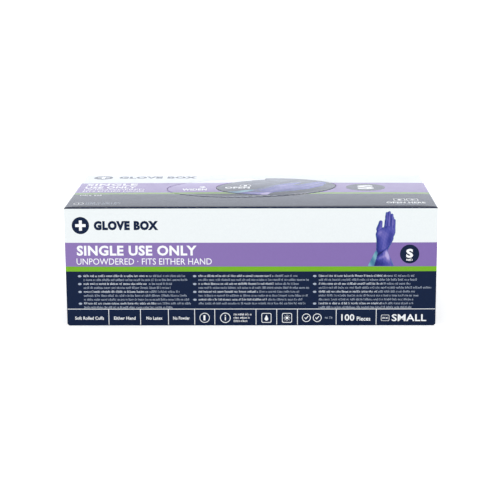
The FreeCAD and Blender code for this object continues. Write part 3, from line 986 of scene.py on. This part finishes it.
def glove_field(x, y):
    """Below 0 inside a glove laid flat, its cuff at x = 0 and its fingers along +X."""
    half = np.interp(x, (0.0, WRIST_AT, KNUCKLES_AT), (CUFF_HALF, WRIST_HALF, PALM_HALF))
    hand = np.maximum(np.maximum(np.abs(y) - half, -x), x - KNUCKLES_AT)
    parts = [hand]
    for number, length in enumerate(FINGER_LENGTHS):
        at = (1.5 - number) * FINGER_SPACING
        tip = (KNUCKLES_AT + length - FINGER_RADIUS, at, FINGER_RADIUS * 0.94)
        parts.append(to_segment(x, y, (KNUCKLES_AT - 6.0, at, FINGER_RADIUS), tip))
    reach = THUMB_LENGTH - THUMB_RADIUS
    tip = (THUMB_START[0] + reach * math.cos(THUMB_ANGLE), THUMB_START[1] + reach * math.sin(THUMB_ANGLE))
    parts.append(to_segment(x, y, (*THUMB_START, THUMB_RADIUS + 2.0), (*tip, THUMB_RADIUS * 0.9)))
    return smooth_least(parts, 4.0)


def ridges(x, y, scale, seed):
    """Creases of crumpled film: sharp along winding lines and 0 between them, from 0 to 1."""
    value = noise.noise(Vector((x / scale, y / scale * 1.6, seed)))
    return max(0.0, 1.0 - abs(value) * 5.0) ** 2


def swell(x, y):
    """The slow wave that the whole stack settles into, which grows up the stack; from 0 to about 2."""
    return 1.0 + noise.noise(Vector((x / 70.0, y / 48.0, 4.0)))


def rumple(x, y):
    """How much the topmost glove is thrown up into folds."""
    height = sum(depth * ridges(x, y, scale, FOLD_SEED + scale) for scale, depth in FOLDS)
    return height + max(0.0, noise.noise(Vector((x / 33.0, y / 24.0, FOLD_SEED + 9.0)))) * 3.0


def glove_solid(number, fine):
    """Outer points, inner points and faces of one glove in its place in the stack."""
    step = 1.5 if fine else 4.0
    points, faces = clipped_grid(glove_field, (0.0, -50.0), (GLOVE_REACH, 62.0), step)
    depth = np.maximum(-glove_field(points[:, 0], points[:, 1]), 0.0)
    puffed = FILM_HALF * np.sqrt(np.clip(depth / FILM_EDGE, 0.0, 1.0))
    bead = CUFF_BEAD * np.clip(1.0 - points[:, 0] / 1.6, 0.0, 1.0)
    thick = np.maximum(puffed, bead) + 0.02
    mirrored, turned = number % 4 >= 2, number % 2 == 1
    x, y = points[:, 0] - GLOVE_REACH / 2, points[:, 1] * (-1.0 if mirrored else 1.0)
    y = y + (GLOVE_OFFSET_Y if mirrored else -GLOVE_OFFSET_Y)
    if turned:
        x, y = -x, -y
    x = x + GLOVE_SHIFT[0] * math.cos(number * GOLDEN_TURN)
    y = y + GLOVE_SHIFT[1] * math.sin(number * GOLDEN_TURN)
    level = node_box("glove_layer_01")[0].z + GLOVE_PITCH / 3 + number * GLOVE_PITCH
    height = (number + 1) / GLOVES
    loose = max(0.0, (number - (GLOVES - GLOVES_IN_A_LAYER - 1)) / GLOVES_IN_A_LAYER)
    outer, inner = [], []
    for px, py, half in zip(x, y, thick):
        z = level + SWELL * height**2 * swell(px, py)
        up = loose * rumple(px, py)
        outer.append((px, py, z + up + half))
        inner.append((px, py, z + up - half))
    return outer, inner, faces


def make_glove_layers():
    """The stack of gloves: each layer of five is one piece, the top ones finer and crumpled."""
    layers = GLOVES // GLOVES_IN_A_LAYER
    for layer in range(layers):
        node = f"glove_layer_{layer + 1:02d}"
        outer, inner, faces = [], [], []
        for place in range(GLOVES_IN_A_LAYER):
            number = layer * GLOVES_IN_A_LAYER + place
            upper, lower, quads = glove_solid(number, number >= GLOVES - 3)
            start = len(outer)
            outer += upper
            inner += lower
            faces += [tuple(index + start for index in quad) for quad in quads]
        piece = thick_piece(f"gloves_{layer + 1:02d}", outer, inner, faces, NITRILE)
        stands_for(piece, CARTON, node)


make_top_panel()
make_tear_panel("first_tear_sheet", +1, "first_tear_panel", NAVY)
make_tear_panel("second_tear_sheet", -1, "second_tear_panel", TOP)
make_walls()
make_glue_flap()
make_seam_glue()
END_SURFACES = {}
for side in (-1, 1):
    for facing in (-1, 1):
        make_dust_flap(side, facing)
    END_SURFACES[side] = make_end_flap(side, "outer", WALL)
    make_end_flap(side, "inner", COATED)
    make_crease(side, "outer", TOP)
    make_crease(side, "inner", COATED)
    make_glue_spots(f"{end_name(side)}_flap_glue", f"{end_name(side)}_inner_flap")
    make_glue_spots(f"{end_name(side)}_dust_glue", CARTON)
make_glove_layers()


# ---------------------------------------------------------------- print
# The height of a layer of ink over the board, and how far the lowest reaches down into it.
INK = 0.02
PRINT_SINK = 0.01
LEFT_EDGE = -HALF_LENGTH


class Print:
    """Shapes of one ink on one surface, gathered into one thin piece."""

    def __init__(self, surface):
        self.surface = surface
        self.points = []
        self.faces = []

    def add(self, shape, level=1):
        """Adds a shape, given as its points and faces; a higher level lies over a lower one."""
        points, faces = shape
        start = len(self.points)
        self.points += [(u, v, level) for u, v in points]
        self.faces += [tuple(index + start for index in face) for face in faces]

    def write(self, words, box, bold=0.0, level=1):
        """Adds words in the built-in font, fitted to a box (u0, v0, u1, v1)."""
        self.add(letters(words, box, bold), level)

    def finish(self, name, body, material):
        """Makes the piece, which rides on a body."""
        outer = [self.surface(u, v, -INK * level) for u, v, level in self.points]
        inner = [self.surface(u, v, PRINT_SINK - INK * (level - 1)) for u, v, level in self.points]
        piece = thick_piece(name, outer, inner, self.faces, material)
        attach(piece, body)
        return piece


def finish_prints(name, body, **prints):
    """Makes the pieces of a face's prints, each named after its ink."""
    for ink, draw in prints.items():
        draw.finish(f"{name}_{ink}", body, PRINTS[ink])


def bar(u0, v0, u1, v1, step=5.0):
    """A rectangle between two corners."""
    us = steps(u0, u1, max(1, math.ceil((u1 - u0) / step)))
    vs = steps(v0, v1, max(1, math.ceil((v1 - v0) / step)))
    return [(u, v) for u in us for v in vs], strip_faces(len(us), len(vs))


def round_line(u, v, across, up, count):
    """Points round a circle or an upright oval."""
    turns = [2 * math.pi * k / count for k in range(count)]
    return [(u + across * math.cos(t), v + up * math.sin(t)) for t in turns]


def disc(u, v, radius, around=40):
    """A filled circle, as rings about its middle."""
    rings = max(1, math.ceil(radius / 3.0))
    points = [(u, v)]
    for r in range(1, rings + 1):
        points += round_line(u, v, radius * r / rings, radius * r / rings, around)
    return points, ring_faces(around, rings)


def oval_spot(u, v, across, up):
    """A small filled oval."""
    return polygon(*round_line(u, v, across, up, 20))


def loop(corners, width):
    """A closed line of a width, inside the corners of a convex shape."""
    count = len(corners)
    middle = [sum(c[i] for c in corners) / count for i in (0, 1)]
    inner = []
    for u, v in corners:
        off = math.dist((u, v), middle)
        inner.append((u + (middle[0] - u) * width / off, v + (middle[1] - v) * width / off))
    faces = [(k, (k + 1) % count, (k + 1) % count + count, k + count) for k in range(count)]
    return list(corners) + inner, faces


def circle(u, v, radius, width):
    """A ring."""
    return loop(round_line(u, v, radius, radius, 32), width)


def frame_line(u0, v0, u1, v1, width):
    """The outline of a rectangle with slightly cut corners."""
    c = (u1 - u0) * 0.1
    lower = [(u0 + c, v0), (u1 - c, v0), (u1, v0 + c)]
    corners = lower + [(u1, v1 - c), (u1 - c, v1), (u0 + c, v1), (u0, v1 - c), (u0, v0 + c)]
    return loop(corners, width)


def polygon(*corners):
    """A small filled shape."""
    return list(corners), [tuple(range(len(corners)))]


def letters(words, box, bold):
    """The filled shapes of words in the built-in font, fitted to a box."""
    curve = bpy.data.curves.new("letters", "FONT")
    curve.body = words
    curve.dimensions = "2D"
    curve.resolution_u = 3
    curve.offset = bold
    curve.space_character = 1.0 + 2.0 * bold
    holder = bpy.data.objects.new("letters", curve)
    bpy.context.scene.collection.objects.link(holder)
    bpy.context.view_layer.update()
    depsgraph = bpy.context.evaluated_depsgraph_get()
    mesh = bpy.data.meshes.new_from_object(holder.evaluated_get(depsgraph))
    points = np.array([vertex.co[:2] for vertex in mesh.vertices])
    faces = [tuple(face.vertices) for face in mesh.polygons]
    bpy.data.objects.remove(holder)
    bpy.data.curves.remove(curve)
    bpy.data.meshes.remove(mesh)
    low, high = points.min(0), points.max(0)
    corner, span = np.array(box[:2]), np.array(box[2:]) - np.array(box[:2])
    return [tuple(point) for point in corner + (points - low) / (high - low) * span], faces


# Which sides of a small rectangle each stroke shape has: bottom, right, top, left.
STROKES = ((1, 1, 1, 1), (0, 1, 1, 1), (1, 1, 0, 1), (1, 0, 1, 1), (0, 0, 0, 1), (0, 0, 0, 1))


def small_print(draw, u0, u1, v, height, weight, draws, level=1):
    """A row of small print reduced to random strokes, which spell nothing; v is its base line."""
    u = u0
    left_in_word = draws.randint(2, 9)
    while True:
        sides = draws.choice(STROKES)
        stem = height * weight
        width = stem if sum(sides) == 1 else height * 0.5
        if u + width > u1:
            return
        tall = height * (1.4 if draws.random() < 0.3 else 1.0)
        outer = [(u, v), (u + width, v), (u + width, v + tall), (u, v + tall)]
        if sum(sides) == 1:
            draw.add((outer, [(0, 1, 2, 3)]), level)
        else:
            hole = [(u + stem, v + stem), (u + width - stem, v + stem),
                    (u + width - stem, v + tall - stem), (u + stem, v + tall - stem)]
            faces = [(k, (k + 1) % 4, (k + 1) % 4 + 4, k + 4) for k in range(4) if sides[k]]
            draw.add((outer + hole, faces), level)
        u += width + height * 0.22
        left_in_word -= 1
        if left_in_word == 0:
            u += height * 0.55
            left_in_word = draws.randint(2, 9)


def emblem(dark, light, u, v, radius):
    """The generic mark: a plus sign in a disc."""
    reach, half = radius * 0.6, radius * 0.17
    dark.add(disc(u, v, radius))
    light.add(bar(u - reach, v - half, u + reach, v + half), 2)
    light.add(bar(u - half, v + half, u + half, v + reach), 2)
    light.add(bar(u - half, v - reach, u + half, v - half), 2)


def drop_mark(draw, u, v, size):
    """A framed drop."""
    draw.add(frame_line(u - size, v - size, u + size, v + size, size * 0.16))
    low, radius = v - size * 0.18, size * 0.38
    turns = [math.pi + math.pi * k / 12 for k in range(13)]
    round_end = [(u + radius * math.cos(t), low + radius * math.sin(t)) for t in turns]
    draw.add(polygon(*round_end, (u, v + size * 0.66)))


def sun_mark(draw, u, v, size):
    """A framed sun."""
    draw.add(frame_line(u - size, v - size, u + size, v + size, size * 0.16))
    draw.add(disc(u, v, size * 0.28))
    for k in range(8):
        turn = math.pi * k / 4
        c, s = math.cos(turn), math.sin(turn)
        ray = [(0.4, -0.05), (0.66, -0.05), (0.66, 0.05), (0.4, 0.05)]
        draw.add(polygon(*((u + size * (a * c - b * s), v + size * (a * s + b * c)) for a, b in ray)))


def tick_mark(draw, u, v, radius):
    """A ringed tick."""
    draw.add(circle(u, v, radius, radius * 0.16))
    tick = [(-0.45, 0.02), (-0.12, -0.42), (0.48, 0.32), (0.34, 0.44), (-0.13, -0.14), (-0.33, 0.13)]
    draw.add(polygon(*((u + radius * a, v + radius * b) for a, b in tick)))


def info_mark(draw, u, v, radius):
    """A ringed letter i."""
    draw.add(circle(u, v, radius, radius * 0.14))
    half = radius * 0.1
    draw.add(bar(u - half, v - radius * 0.5, u + half, v + radius * 0.2))
    draw.add(bar(u - half, v + radius * 0.36, u + half, v + radius * 0.56))


# The small print's columns on a long wall: the bullets' place, each row's start and end, the rows marked by a
# bullet, and the number of rows.
COLUMNS = (
    (9.2, 11.7, 83.0, (0, 2, 4, 7), 9),
    (85.0, 87.5, 161.7, (0, 2, 4, 6), 8),
    (164.0, 166.7, 241.0, (0, 2, 4, 7), 9),
)
ROW_TOP, ROW_PITCH, ROW_HEIGHT = 34.0, 2.67, 1.02
CELL_LINE, CELL_LINE_WIDTH = 11.6, 0.4
DIVIDERS = (27.8, 48.8, 67.3, 84.7, 98.0, 125.3, 139.0, 152.7, 178.3, 204.7)
CELL_WORDS = (
    ("Soft Rolled Cuffs", (5.4, 4.3, 24.5, 6.5)),
    ("Either Hand", (31.2, 4.3, 45.5, 6.5)),
    ("No Latex", (52.7, 4.3, 63.3, 6.5)),
    ("No Powder", (70.4, 4.3, 81.4, 6.5)),
    ("100", (181.7, 3.5, 190.3, 8.0)),
    ("Pieces", (191.9, 3.5, 200.9, 6.4)),
    ("SMALL", (215.0, 3.2, 237.8, 8.0)),
)


def print_rows(bright, dim, draws):
    """The three columns of small print, whose marked rows start bold."""
    for bullet, start, end, marked, rows in COLUMNS:
        for row in range(rows):
            base = ROW_TOP - row * ROW_PITCH - ROW_HEIGHT / 2
            stop = end - (end - start) * draws.uniform(0.0, 0.2)
            if row in marked:
                dim.add(oval_spot(bullet, base + ROW_HEIGHT / 2, 1.15, 0.72))
                turn = start + (end - start) * draws.uniform(0.5, 0.68)
                small_print(bright, start, turn, base, ROW_HEIGHT, 0.2, draws)
                start_dim = turn + ROW_HEIGHT * 0.5
            else:
                start_dim = start
            small_print(dim, start_dim, stop, base, ROW_HEIGHT, 0.16, draws)


def print_cells(light, dim, draws):
    """The row of divided cells along the foot of a long wall."""
    half = CELL_LINE_WIDTH / 2
    light.add(bar(0.4, CELL_LINE - half, 2 * HALF_LENGTH - 0.4, CELL_LINE + half))
    for at in DIVIDERS:
        light.add(bar(at - half, 0.9, at + half, CELL_LINE - half))
    for words, box in CELL_WORDS:
        light.write(words, box, 0.018)
    light.add(circle(91.3, 5.6, 3.4, 0.42))
    light.write("1", (90.5, 3.8, 91.8, 7.4), 0.03)
    info_mark(light, 105.0, 5.6, 3.5)
    for row, end in enumerate((122.4, 121.0, 120.0)):
        small_print(light, 110.5, end, 7.3 - 2.3 * row, 1.0, 0.2, draws)
    drop_mark(light, 132.2, 5.5, 3.3)
    sun_mark(light, 145.8, 5.5, 3.3)
    tick_mark(light, 158.6, 5.6, 2.9)
    tick_mark(light, 165.8, 5.6, 2.9)
    small_print(dim, 170.9, 176.4, 5.0, 1.1, 0.18, draws)
    light.add(frame_line(207.9, 3.4, 213.4, 7.6, 0.35))
    small_print(light, 208.9, 212.6, 4.9, 1.2, 0.2, draws)


def print_wall(name, surface, seed):
    """The print of a long wall, over its bands."""
    light, dim, dark, bright = (Print(surface) for _ in range(4))
    draws = random.Random(seed)
    emblem(dark, light, 10.7, 68.0, 5.7)
    dark.write("GLOVE BOX", (19.4, 64.8, 61.6, 71.0), 0.07)
    light.write("SINGLE USE ONLY", (7.8, 47.8, 86.6, 54.6), 0.035)
    light.write("UNPOWDERED \u00b7 FITS EITHER HAND", (7.5, 41.8, 96.4, 46.0))
    print_rows(bright, dim, draws)
    print_cells(light, dim, draws)
    size_disc(dark, light, 226.0, 48.7, 6.3, draws)
    finish_prints(name, CARTON, white=light, bold_rows=bright, fine_rows=dim, navy=dark)


def size_disc(dark, light, u, v, radius, draws=None):
    """The size letter in a disc, with a little small print under it where draws are given."""
    dark.add(disc(u, v, radius))
    half, low, high = radius * 0.36, radius * 0.4, radius * 0.55
    if draws is None:
        half, low, high = radius * 0.42, radius * 0.56, radius * 0.56
    light.write("S", (u - half, v - low, u + half, v + high), 0.045, 2)
    if draws:
        small_print(light, u - half * 0.9, u + half * 1.1, v - radius * 0.72, radius * 0.2, 0.25, draws, 2)


def on_front(u, z, depth):
    """The front wall, its level place measured from its left end."""
    return front_surface(LEFT_EDGE + u, z, depth)


def on_back(u, z, depth):
    """The back wall as it is read from behind."""
    return back_surface(-LEFT_EDGE - u, z, depth)


def print_top():
    """The print of the top panel, over its bands."""
    light, dim, dark = (Print(top_surface) for _ in range(3))
    draws = random.Random(5)
    emblem(dark, light, -108.2, 49.8, 6.9)
    dark.write("GLOVE BOX", (-96.8, 45.8, -40.4, 54.4), 0.06)
    light.write("SINGLE", (-116.5, 16.6, -80.8, 24.6), 0.035)
    light.write("USE ONLY", (-116.5, 5.6, -80.8, 13.6), 0.035)
    light.write("UNPOWDERED", (-116.5, -1.0, -74.4, 3.4))
    light.write("FITS EITHER HAND", (-116.5, -7.4, -74.4, -3.0))
    small_print(light, -116.5, -100.8, -22.0, 2.6, 0.2, draws)
    info_mark(light, -113.8, -50.4, 3.4)
    for row in range(2):
        small_print(dim, -109.0, -86.0, -49.4 - 3.6 * row, 1.9, 0.2, draws)
    drop_mark(light, 98.8, -38.6, 3.9)
    sun_mark(light, 107.4, -38.6, 3.9)
    light.write("OPEN HERE", (89.5, -50.8, 115.3, -45.8), 0.03)
    small_print(dim, 95.0, 111.5, -54.8, 1.7, 0.2, draws)
    size_disc(dark, light, 79.2, 8.6, 13.7)
    finish_prints("top", CARTON, white=light, fine=dim, navy=dark)


def print_tear_panels():
    """The numbers and words on the two tear panels."""
    light = Print(tear_surface)
    light.write("OPEN", (-18.7, 2.4, -1.4, 9.0), 0.035)
    light.add(circle(-4.6, 13.6, 4.0, 0.6))
    light.write("1", (-5.8, 11.3, -3.6, 16.0), 0.04)
    finish_prints("first_tear", "first_tear_panel", white=light)
    light = Print(tear_surface)
    light.write("WIDEN", (-48.2, -4.0, -31.2, 2.8), 0.035)
    light.write("2", (-36.6, 5.8, -32.2, 11.6), 0.04)
    finish_prints("second_tear", "second_tear_panel", white=light)


def print_end(side, surface):
    """The print of an outer end flap, read upright from its own side."""
    def on_end(u, z, depth):
        return surface(side * u, z, depth)

    light, dim, dark = (Print(on_end) for _ in range(3))
    draws = random.Random(11)
    emblem(dark, light, -48.5, 68.0, 5.7)
    dark.write("GLOVE BOX", (-39.8, 64.8, 2.4, 71.0), 0.07)
    light.write("SINGLE USE ONLY", (-54.0, 46.4, 6.0, 51.8), 0.035)
    size_disc(dark, light, 46.0, 48.6, 6.3, draws)
    for row in range(7):
        small_print(dim, -54.0, draws.uniform(-6.0, 4.0), 32.0 - 2.9 * row, 1.1, 0.18, draws)
    for row in range(4):
        small_print(dim, 12.0, draws.uniform(44.0, 54.0), 32.0 - 2.9 * row, 1.1, 0.18, draws)
    light.write("100", (12.2, 13.6, 22.0, 18.6), 0.03)
    light.write("Pieces", (23.8, 13.6, 34.0, 17.0), 0.018)
    light.add(frame_line(38.0, 12.6, 54.0, 19.6, 0.4))
    light.write("SMALL", (40.2, 14.2, 51.8, 18.0), 0.03)
    body = f"{end_name(side)}_outer_flap"
    finish_prints(body, body, white=light, fine=dim, navy=dark)


# ---------------------------------------------------------------- the picture of a gloved hand
# The hand drawn upright, as round-ended strokes, each from and to (across, up, radius); its cuff comes last.
HAND_STROKES = (
    ((11.9, 26.0, 1.1), (12.5, 35.1, 0.8)),
    ((13.8, 26.0, 1.15), (14.2, 35.6, 0.9)),
    ((15.9, 31.5, 1.0), (15.9, 34.0, 0.85)),
    ((15.8, 25.0, 1.2), (16.3, 31.8, 1.0)),
    ((17.1, 23.5, 1.1), (17.6, 30.4, 0.75)),
    ((7.7, 24.6, 2.0), (8.6, 29.2, 1.2)),
    ((9.7, 20.8, 4.3), (13.9, 22.6, 4.3)),
    ((11.4, 18.8, 5.7), (9.7, 11.6, 3.9)),
    ((10.3, 8.6, 3.5), (11.1, -2.0, 7.2)),
)
SLEEVE_STROKE = ((1.9, -1.6, 2.0), (6.3, 9.2, 1.2))
HAND_MIDDLE = 11.0
# Where the foot of the picture stands on a wall and on the first tear panel, and its scale and lean there.
PICTURE_FOOT = (209.2, 40.7)
LENS_FOOT, LENS_SCALE, LENS_LEAN = (-3.9, -26.2), 2.145, math.radians(39.7)
HAND_TONES = ((28, 33, 92), (48, 55, 136), (78, 80, 164), (120, 113, 186), (180, 168, 218))
SLEEVE_TONES = ((70, 118, 152), (88, 142, 166), (122, 172, 188))
# Lights and darks of the picture: place, reach, slope, and change of tone.
HAND_LIGHTS = (
    ((7.9, 21.8), (2.0, 2.6), 0.3, 0.34),
    ((10.4, 18.5), (2.6, 5.0), 1.2, 0.14),
    ((14.6, 18.0), (1.9, 4.6), 1.6, -0.3),
    ((13.9, 30.5), (0.45, 4.5), 0.0, 0.2),
    ((16.5, 28.5), (0.4, 3.5), 0.0, 0.24),
    ((12.0, 29.0), (0.6, 5.0), 0.0, -0.12),
    ((10.2, 9.8), (3.6, 0.6), 0.74, -0.4),
    ((13.3, 7.2), (1.5, 3.0), -1.0, 0.6),
    ((8.7, 5.6), (2.8, 1.3), 0.35, 0.42),
    ((10.8, 1.2), (4.4, 1.7), 0.0, -0.22),
)


def gloved_field(p, q):
    """Below 0 inside the gloved hand, without its sleeve."""
    return smooth_least([to_segment(p, q, *stroke) for stroke in HAND_STROKES], 0.7)


def hand_field(p, q):
    """Below 0 inside the picture."""
    return np.maximum(np.minimum(gloved_field(p, q), to_segment(p, q, *SLEEVE_STROKE)), -q)


def domed(p, q, stroke):
    """The height of a round stroke above the paper, as if it were a rod."""
    inside = np.maximum(-to_segment(p, q, *stroke), 0.0)
    radius = max(stroke[0][2], stroke[1][2])
    return np.sqrt(np.maximum(2 * radius * inside - inside**2, 0.0))


def blob(p, q, at, reach, lean=0.0):
    """A soft spot of 1 at a place, leaning by a slope."""
    return np.exp(-(((p - at[0]) / reach[0]) ** 2) - (((q - at[1] - lean * (p - at[0])) / reach[1]) ** 2))


def hand_colours(p, q):
    """The linear colours of the picture, from its shape lit from the left and a few folds in the film."""
    def height(p, q):
        return np.maximum.reduce([domed(p, q, stroke) for stroke in HAND_STROKES]) * 0.8

    eps = 0.15
    flat = height(p, q)
    slope_p = (height(p + eps, q) - flat) / eps
    slope_q = (height(p, q + eps) - flat) / eps
    lit = (0.62 * slope_p * -1 + 0.2 * -slope_q + 0.76) / np.sqrt(1 + slope_p**2 + slope_q**2)
    tone = 0.14 + 0.46 * np.clip(lit, 0.0, 1.2)
    for at, reach, lean, change in HAND_LIGHTS:
        tone += change * blob(p, q, at, reach, lean)
    tone += 0.04 * np.sin(p * 3.1 + q * 0.8) * np.sin(q * 1.7 - p * 0.6)
    hand = tones(HAND_TONES, tone)
    sleeve = tones(SLEEVE_TONES, 0.5 + 0.5 * np.sin(q * 0.5 + p * 0.9))
    return np.where(gloved_field(p, q)[:, None] < 0.0, hand, sleeve)


def tones(inks, value):
    """Linear colours read along a row of inks, at values from 0 to 1."""
    places = np.linspace(0.0, 1.0, len(inks))
    columns = np.array([linear(ink) for ink in inks])
    return np.column_stack([np.interp(value, places, columns[:, i]) for i in range(4)])


def print_hand(name, surface, body, corner, scale, lean, step, clip=None):
    """The picture on a surface: its foot's middle at a corner, scaled, and leaning clockwise by an angle."""
    c, s = math.cos(lean), math.sin(lean)

    def local(u, v):
        du, dv = (u - corner[0]) / scale, (v - corner[1]) / scale
        return HAND_MIDDLE + du * c - dv * s, du * s + dv * c

    def field(u, v):
        inside = hand_field(*local(u, v)) * scale
        return np.maximum(inside, clip(u, v)) if clip else inside

    reach = 40.0 * scale
    points, faces = clipped_grid(
        field, (corner[0] - reach, corner[1] - reach), (corner[0] + reach, corner[1] + reach), step
    )
    draw = Print(surface)
    draw.add(([tuple(point) for point in points], faces))
    piece = draw.finish(name, body, PICTURE)
    colours = hand_colours(*local(points[:, 0], points[:, 1]))
    attribute = piece.data.color_attributes.new("picture", "FLOAT_COLOR", "POINT")
    attribute.data.foreach_set("color", np.concatenate([colours, colours]).ravel())


def oval_field(oval, x, y, inset):
    """Below 0 inside a tilted oval made smaller by an inset."""
    a, b = oval["axes"]
    u, v = along_axes(oval, x, y)
    return (np.hypot(u / a, v / b) - 1.0) * b + inset


def lens_field(x, y):
    """Below 0 on the first tear panel, a little way in from its edges."""
    inset = 1.0
    right = np.maximum(STEP_X + inset - x, FIRST_OVAL["centre"][1] - y)
    return np.maximum(oval_field(OVAL, x, y, inset), np.minimum(oval_field(FIRST_OVAL, x, y, inset), right))


def picture_print():
    """Print of the pictures, whose colours are worked out point by point."""
    nodes = Nodes("picture_print")
    colour = nodes.make("ShaderNodeVertexColor", layer_name="picture").outputs["Color"]
    return varnish(nodes, colour)


PRINTS = {
    "white": plain_print("white_print", (246, 248, 250)),
    "bold_rows": plain_print("bold_rows_print", (205, 212, 222)),
    "fine_rows": plain_print("fine_rows_print", (168, 178, 194)),
    "navy": NAVY,
}
PRINTS["fine"] = PRINTS["fine_rows"]
PICTURE = picture_print()

print_wall("front_print", on_front, 3)
print_wall("back_print", on_back, 4)
print_hand("front_picture", on_front, CARTON, PICTURE_FOOT, 1.0, 0.0, 0.35)
print_hand("back_picture", on_back, CARTON, PICTURE_FOOT, 1.0, 0.0, 0.5)
print_top()
print_tear_panels()
print_hand(
    "lens_picture", tear_surface, "first_tear_panel", LENS_FOOT, LENS_SCALE, LENS_LEAN, 0.6, lens_field
)
for side in (-1, 1):
    print_end(side, END_SURFACES[side])


# ---------------------------------------------------------------- studio
# The floor is a lit table: it glows a little, so that it stays white beside the carton. Lengths in the studio
# are in metres, and a light's glow is its radiance.
FLOOR_HALF = 40.0
FLOOR_GLOW = 0.45
WORLD_COLOUR = (0.985, 0.992, 1.0, 1.0)
WORLD_STRENGTH = 0.9
BACKDROP_GLOW = 1.2
BACKDROP_COLOUR = (0.89, 0.96, 1.13)
BACKDROP_PLACE = (0.0, 3.0, 0.3)
BACKDROP_SIZE = (3.0, 0.7)
KEY_PLACE = (-0.9, -0.6, 1.5)
KEY_SIZE = (0.8, 0.8)
KEY_GLOW = 0.5


def make_floor():
    """A plain pale floor that runs out of view."""
    work = bmesh.new()
    bmesh.ops.create_grid(work, x_segments=2, y_segments=2, size=FLOOR_HALF)
    mesh = bpy.data.meshes.new("floor")
    work.to_mesh(mesh)
    work.free()
    floor = bpy.data.objects.new("floor", mesh)
    bpy.context.scene.collection.objects.link(floor)
    nodes = Nodes("floor")
    tone = nodes.spread(nodes.cloud(8.0), 0.3, 0.7, 0.93, 0.95)
    colour = nodes.make("ShaderNodeCombineColor", Red=tone, Green=tone, Blue=tone).outputs[0]
    white = (1.0, 1.0, 1.0, 1.0)
    mesh.materials.append(
        nodes.finish(
            Base_Color=colour,
            Roughness=0.9,
            Specular_IOR_Level=0.1,
            Emission_Color=white,
            Emission_Strength=FLOOR_GLOW,
        )
    )


def area_light(name, place, target, size, glow, colour=(1.0, 1.0, 1.0)):
    """A soft rectangular light that shines evenly."""
    data = bpy.data.lights.new(name, "AREA")
    data.color = colour
    data.shape = "RECTANGLE"
    data.size, data.size_y = size
    data.energy = glow * math.pi * size[0] * size[1]
    light = bpy.data.objects.new(name, data)
    light.location = place
    light.rotation_euler = (Vector(target) - Vector(place)).to_track_quat("-Z", "Y").to_euler()
    bpy.context.scene.collection.objects.link(light)


def make_lights():
    """An even white surround, a brighter backdrop behind the carton, and a soft light above on the left."""
    world = bpy.data.worlds.new("studio")
    world.use_nodes = True
    background = world.node_tree.nodes["Background"]
    background.inputs["Color"].default_value = WORLD_COLOUR
    background.inputs["Strength"].default_value = WORLD_STRENGTH
    bpy.context.scene.world = world
    facing = (0.0, 0.0, BACKDROP_PLACE[2])
    area_light("backdrop_light", BACKDROP_PLACE, facing, BACKDROP_SIZE, BACKDROP_GLOW, BACKDROP_COLOUR)
    area_light("key_light", KEY_PLACE, (0.0, 0.0, 0.05), KEY_SIZE, KEY_GLOW)
    bpy.context.scene.view_settings.view_transform = "Standard"


CAMERA_PLACE = (0.0135, -1.0138, 0.2631)
CAMERA_PITCH_DOWN = math.radians(12.55)
CAMERA_YAW = math.radians(0.843)
CAMERA_ROLL = math.radians(-0.259)
CAMERA_LENS, CAMERA_SENSOR = 107.0, 36.0


def make_camera():
    """The camera, in front of the carton, a little above it and looking down."""
    data = bpy.data.cameras.new("camera")
    data.lens = CAMERA_LENS
    data.sensor_width = CAMERA_SENSOR
    camera = bpy.data.objects.new("camera", data)
    camera.location = CAMERA_PLACE
    turn = Matrix.Rotation(CAMERA_YAW, 3, "Z") @ Matrix.Rotation(math.pi / 2 - CAMERA_PITCH_DOWN, 3, "X")
    camera.rotation_euler = (turn @ Matrix.Rotation(CAMERA_ROLL, 3, "Z")).to_euler()
    bpy.context.scene.collection.objects.link(camera)
    bpy.context.scene.camera = camera


make_floor()
make_lights()
make_camera()
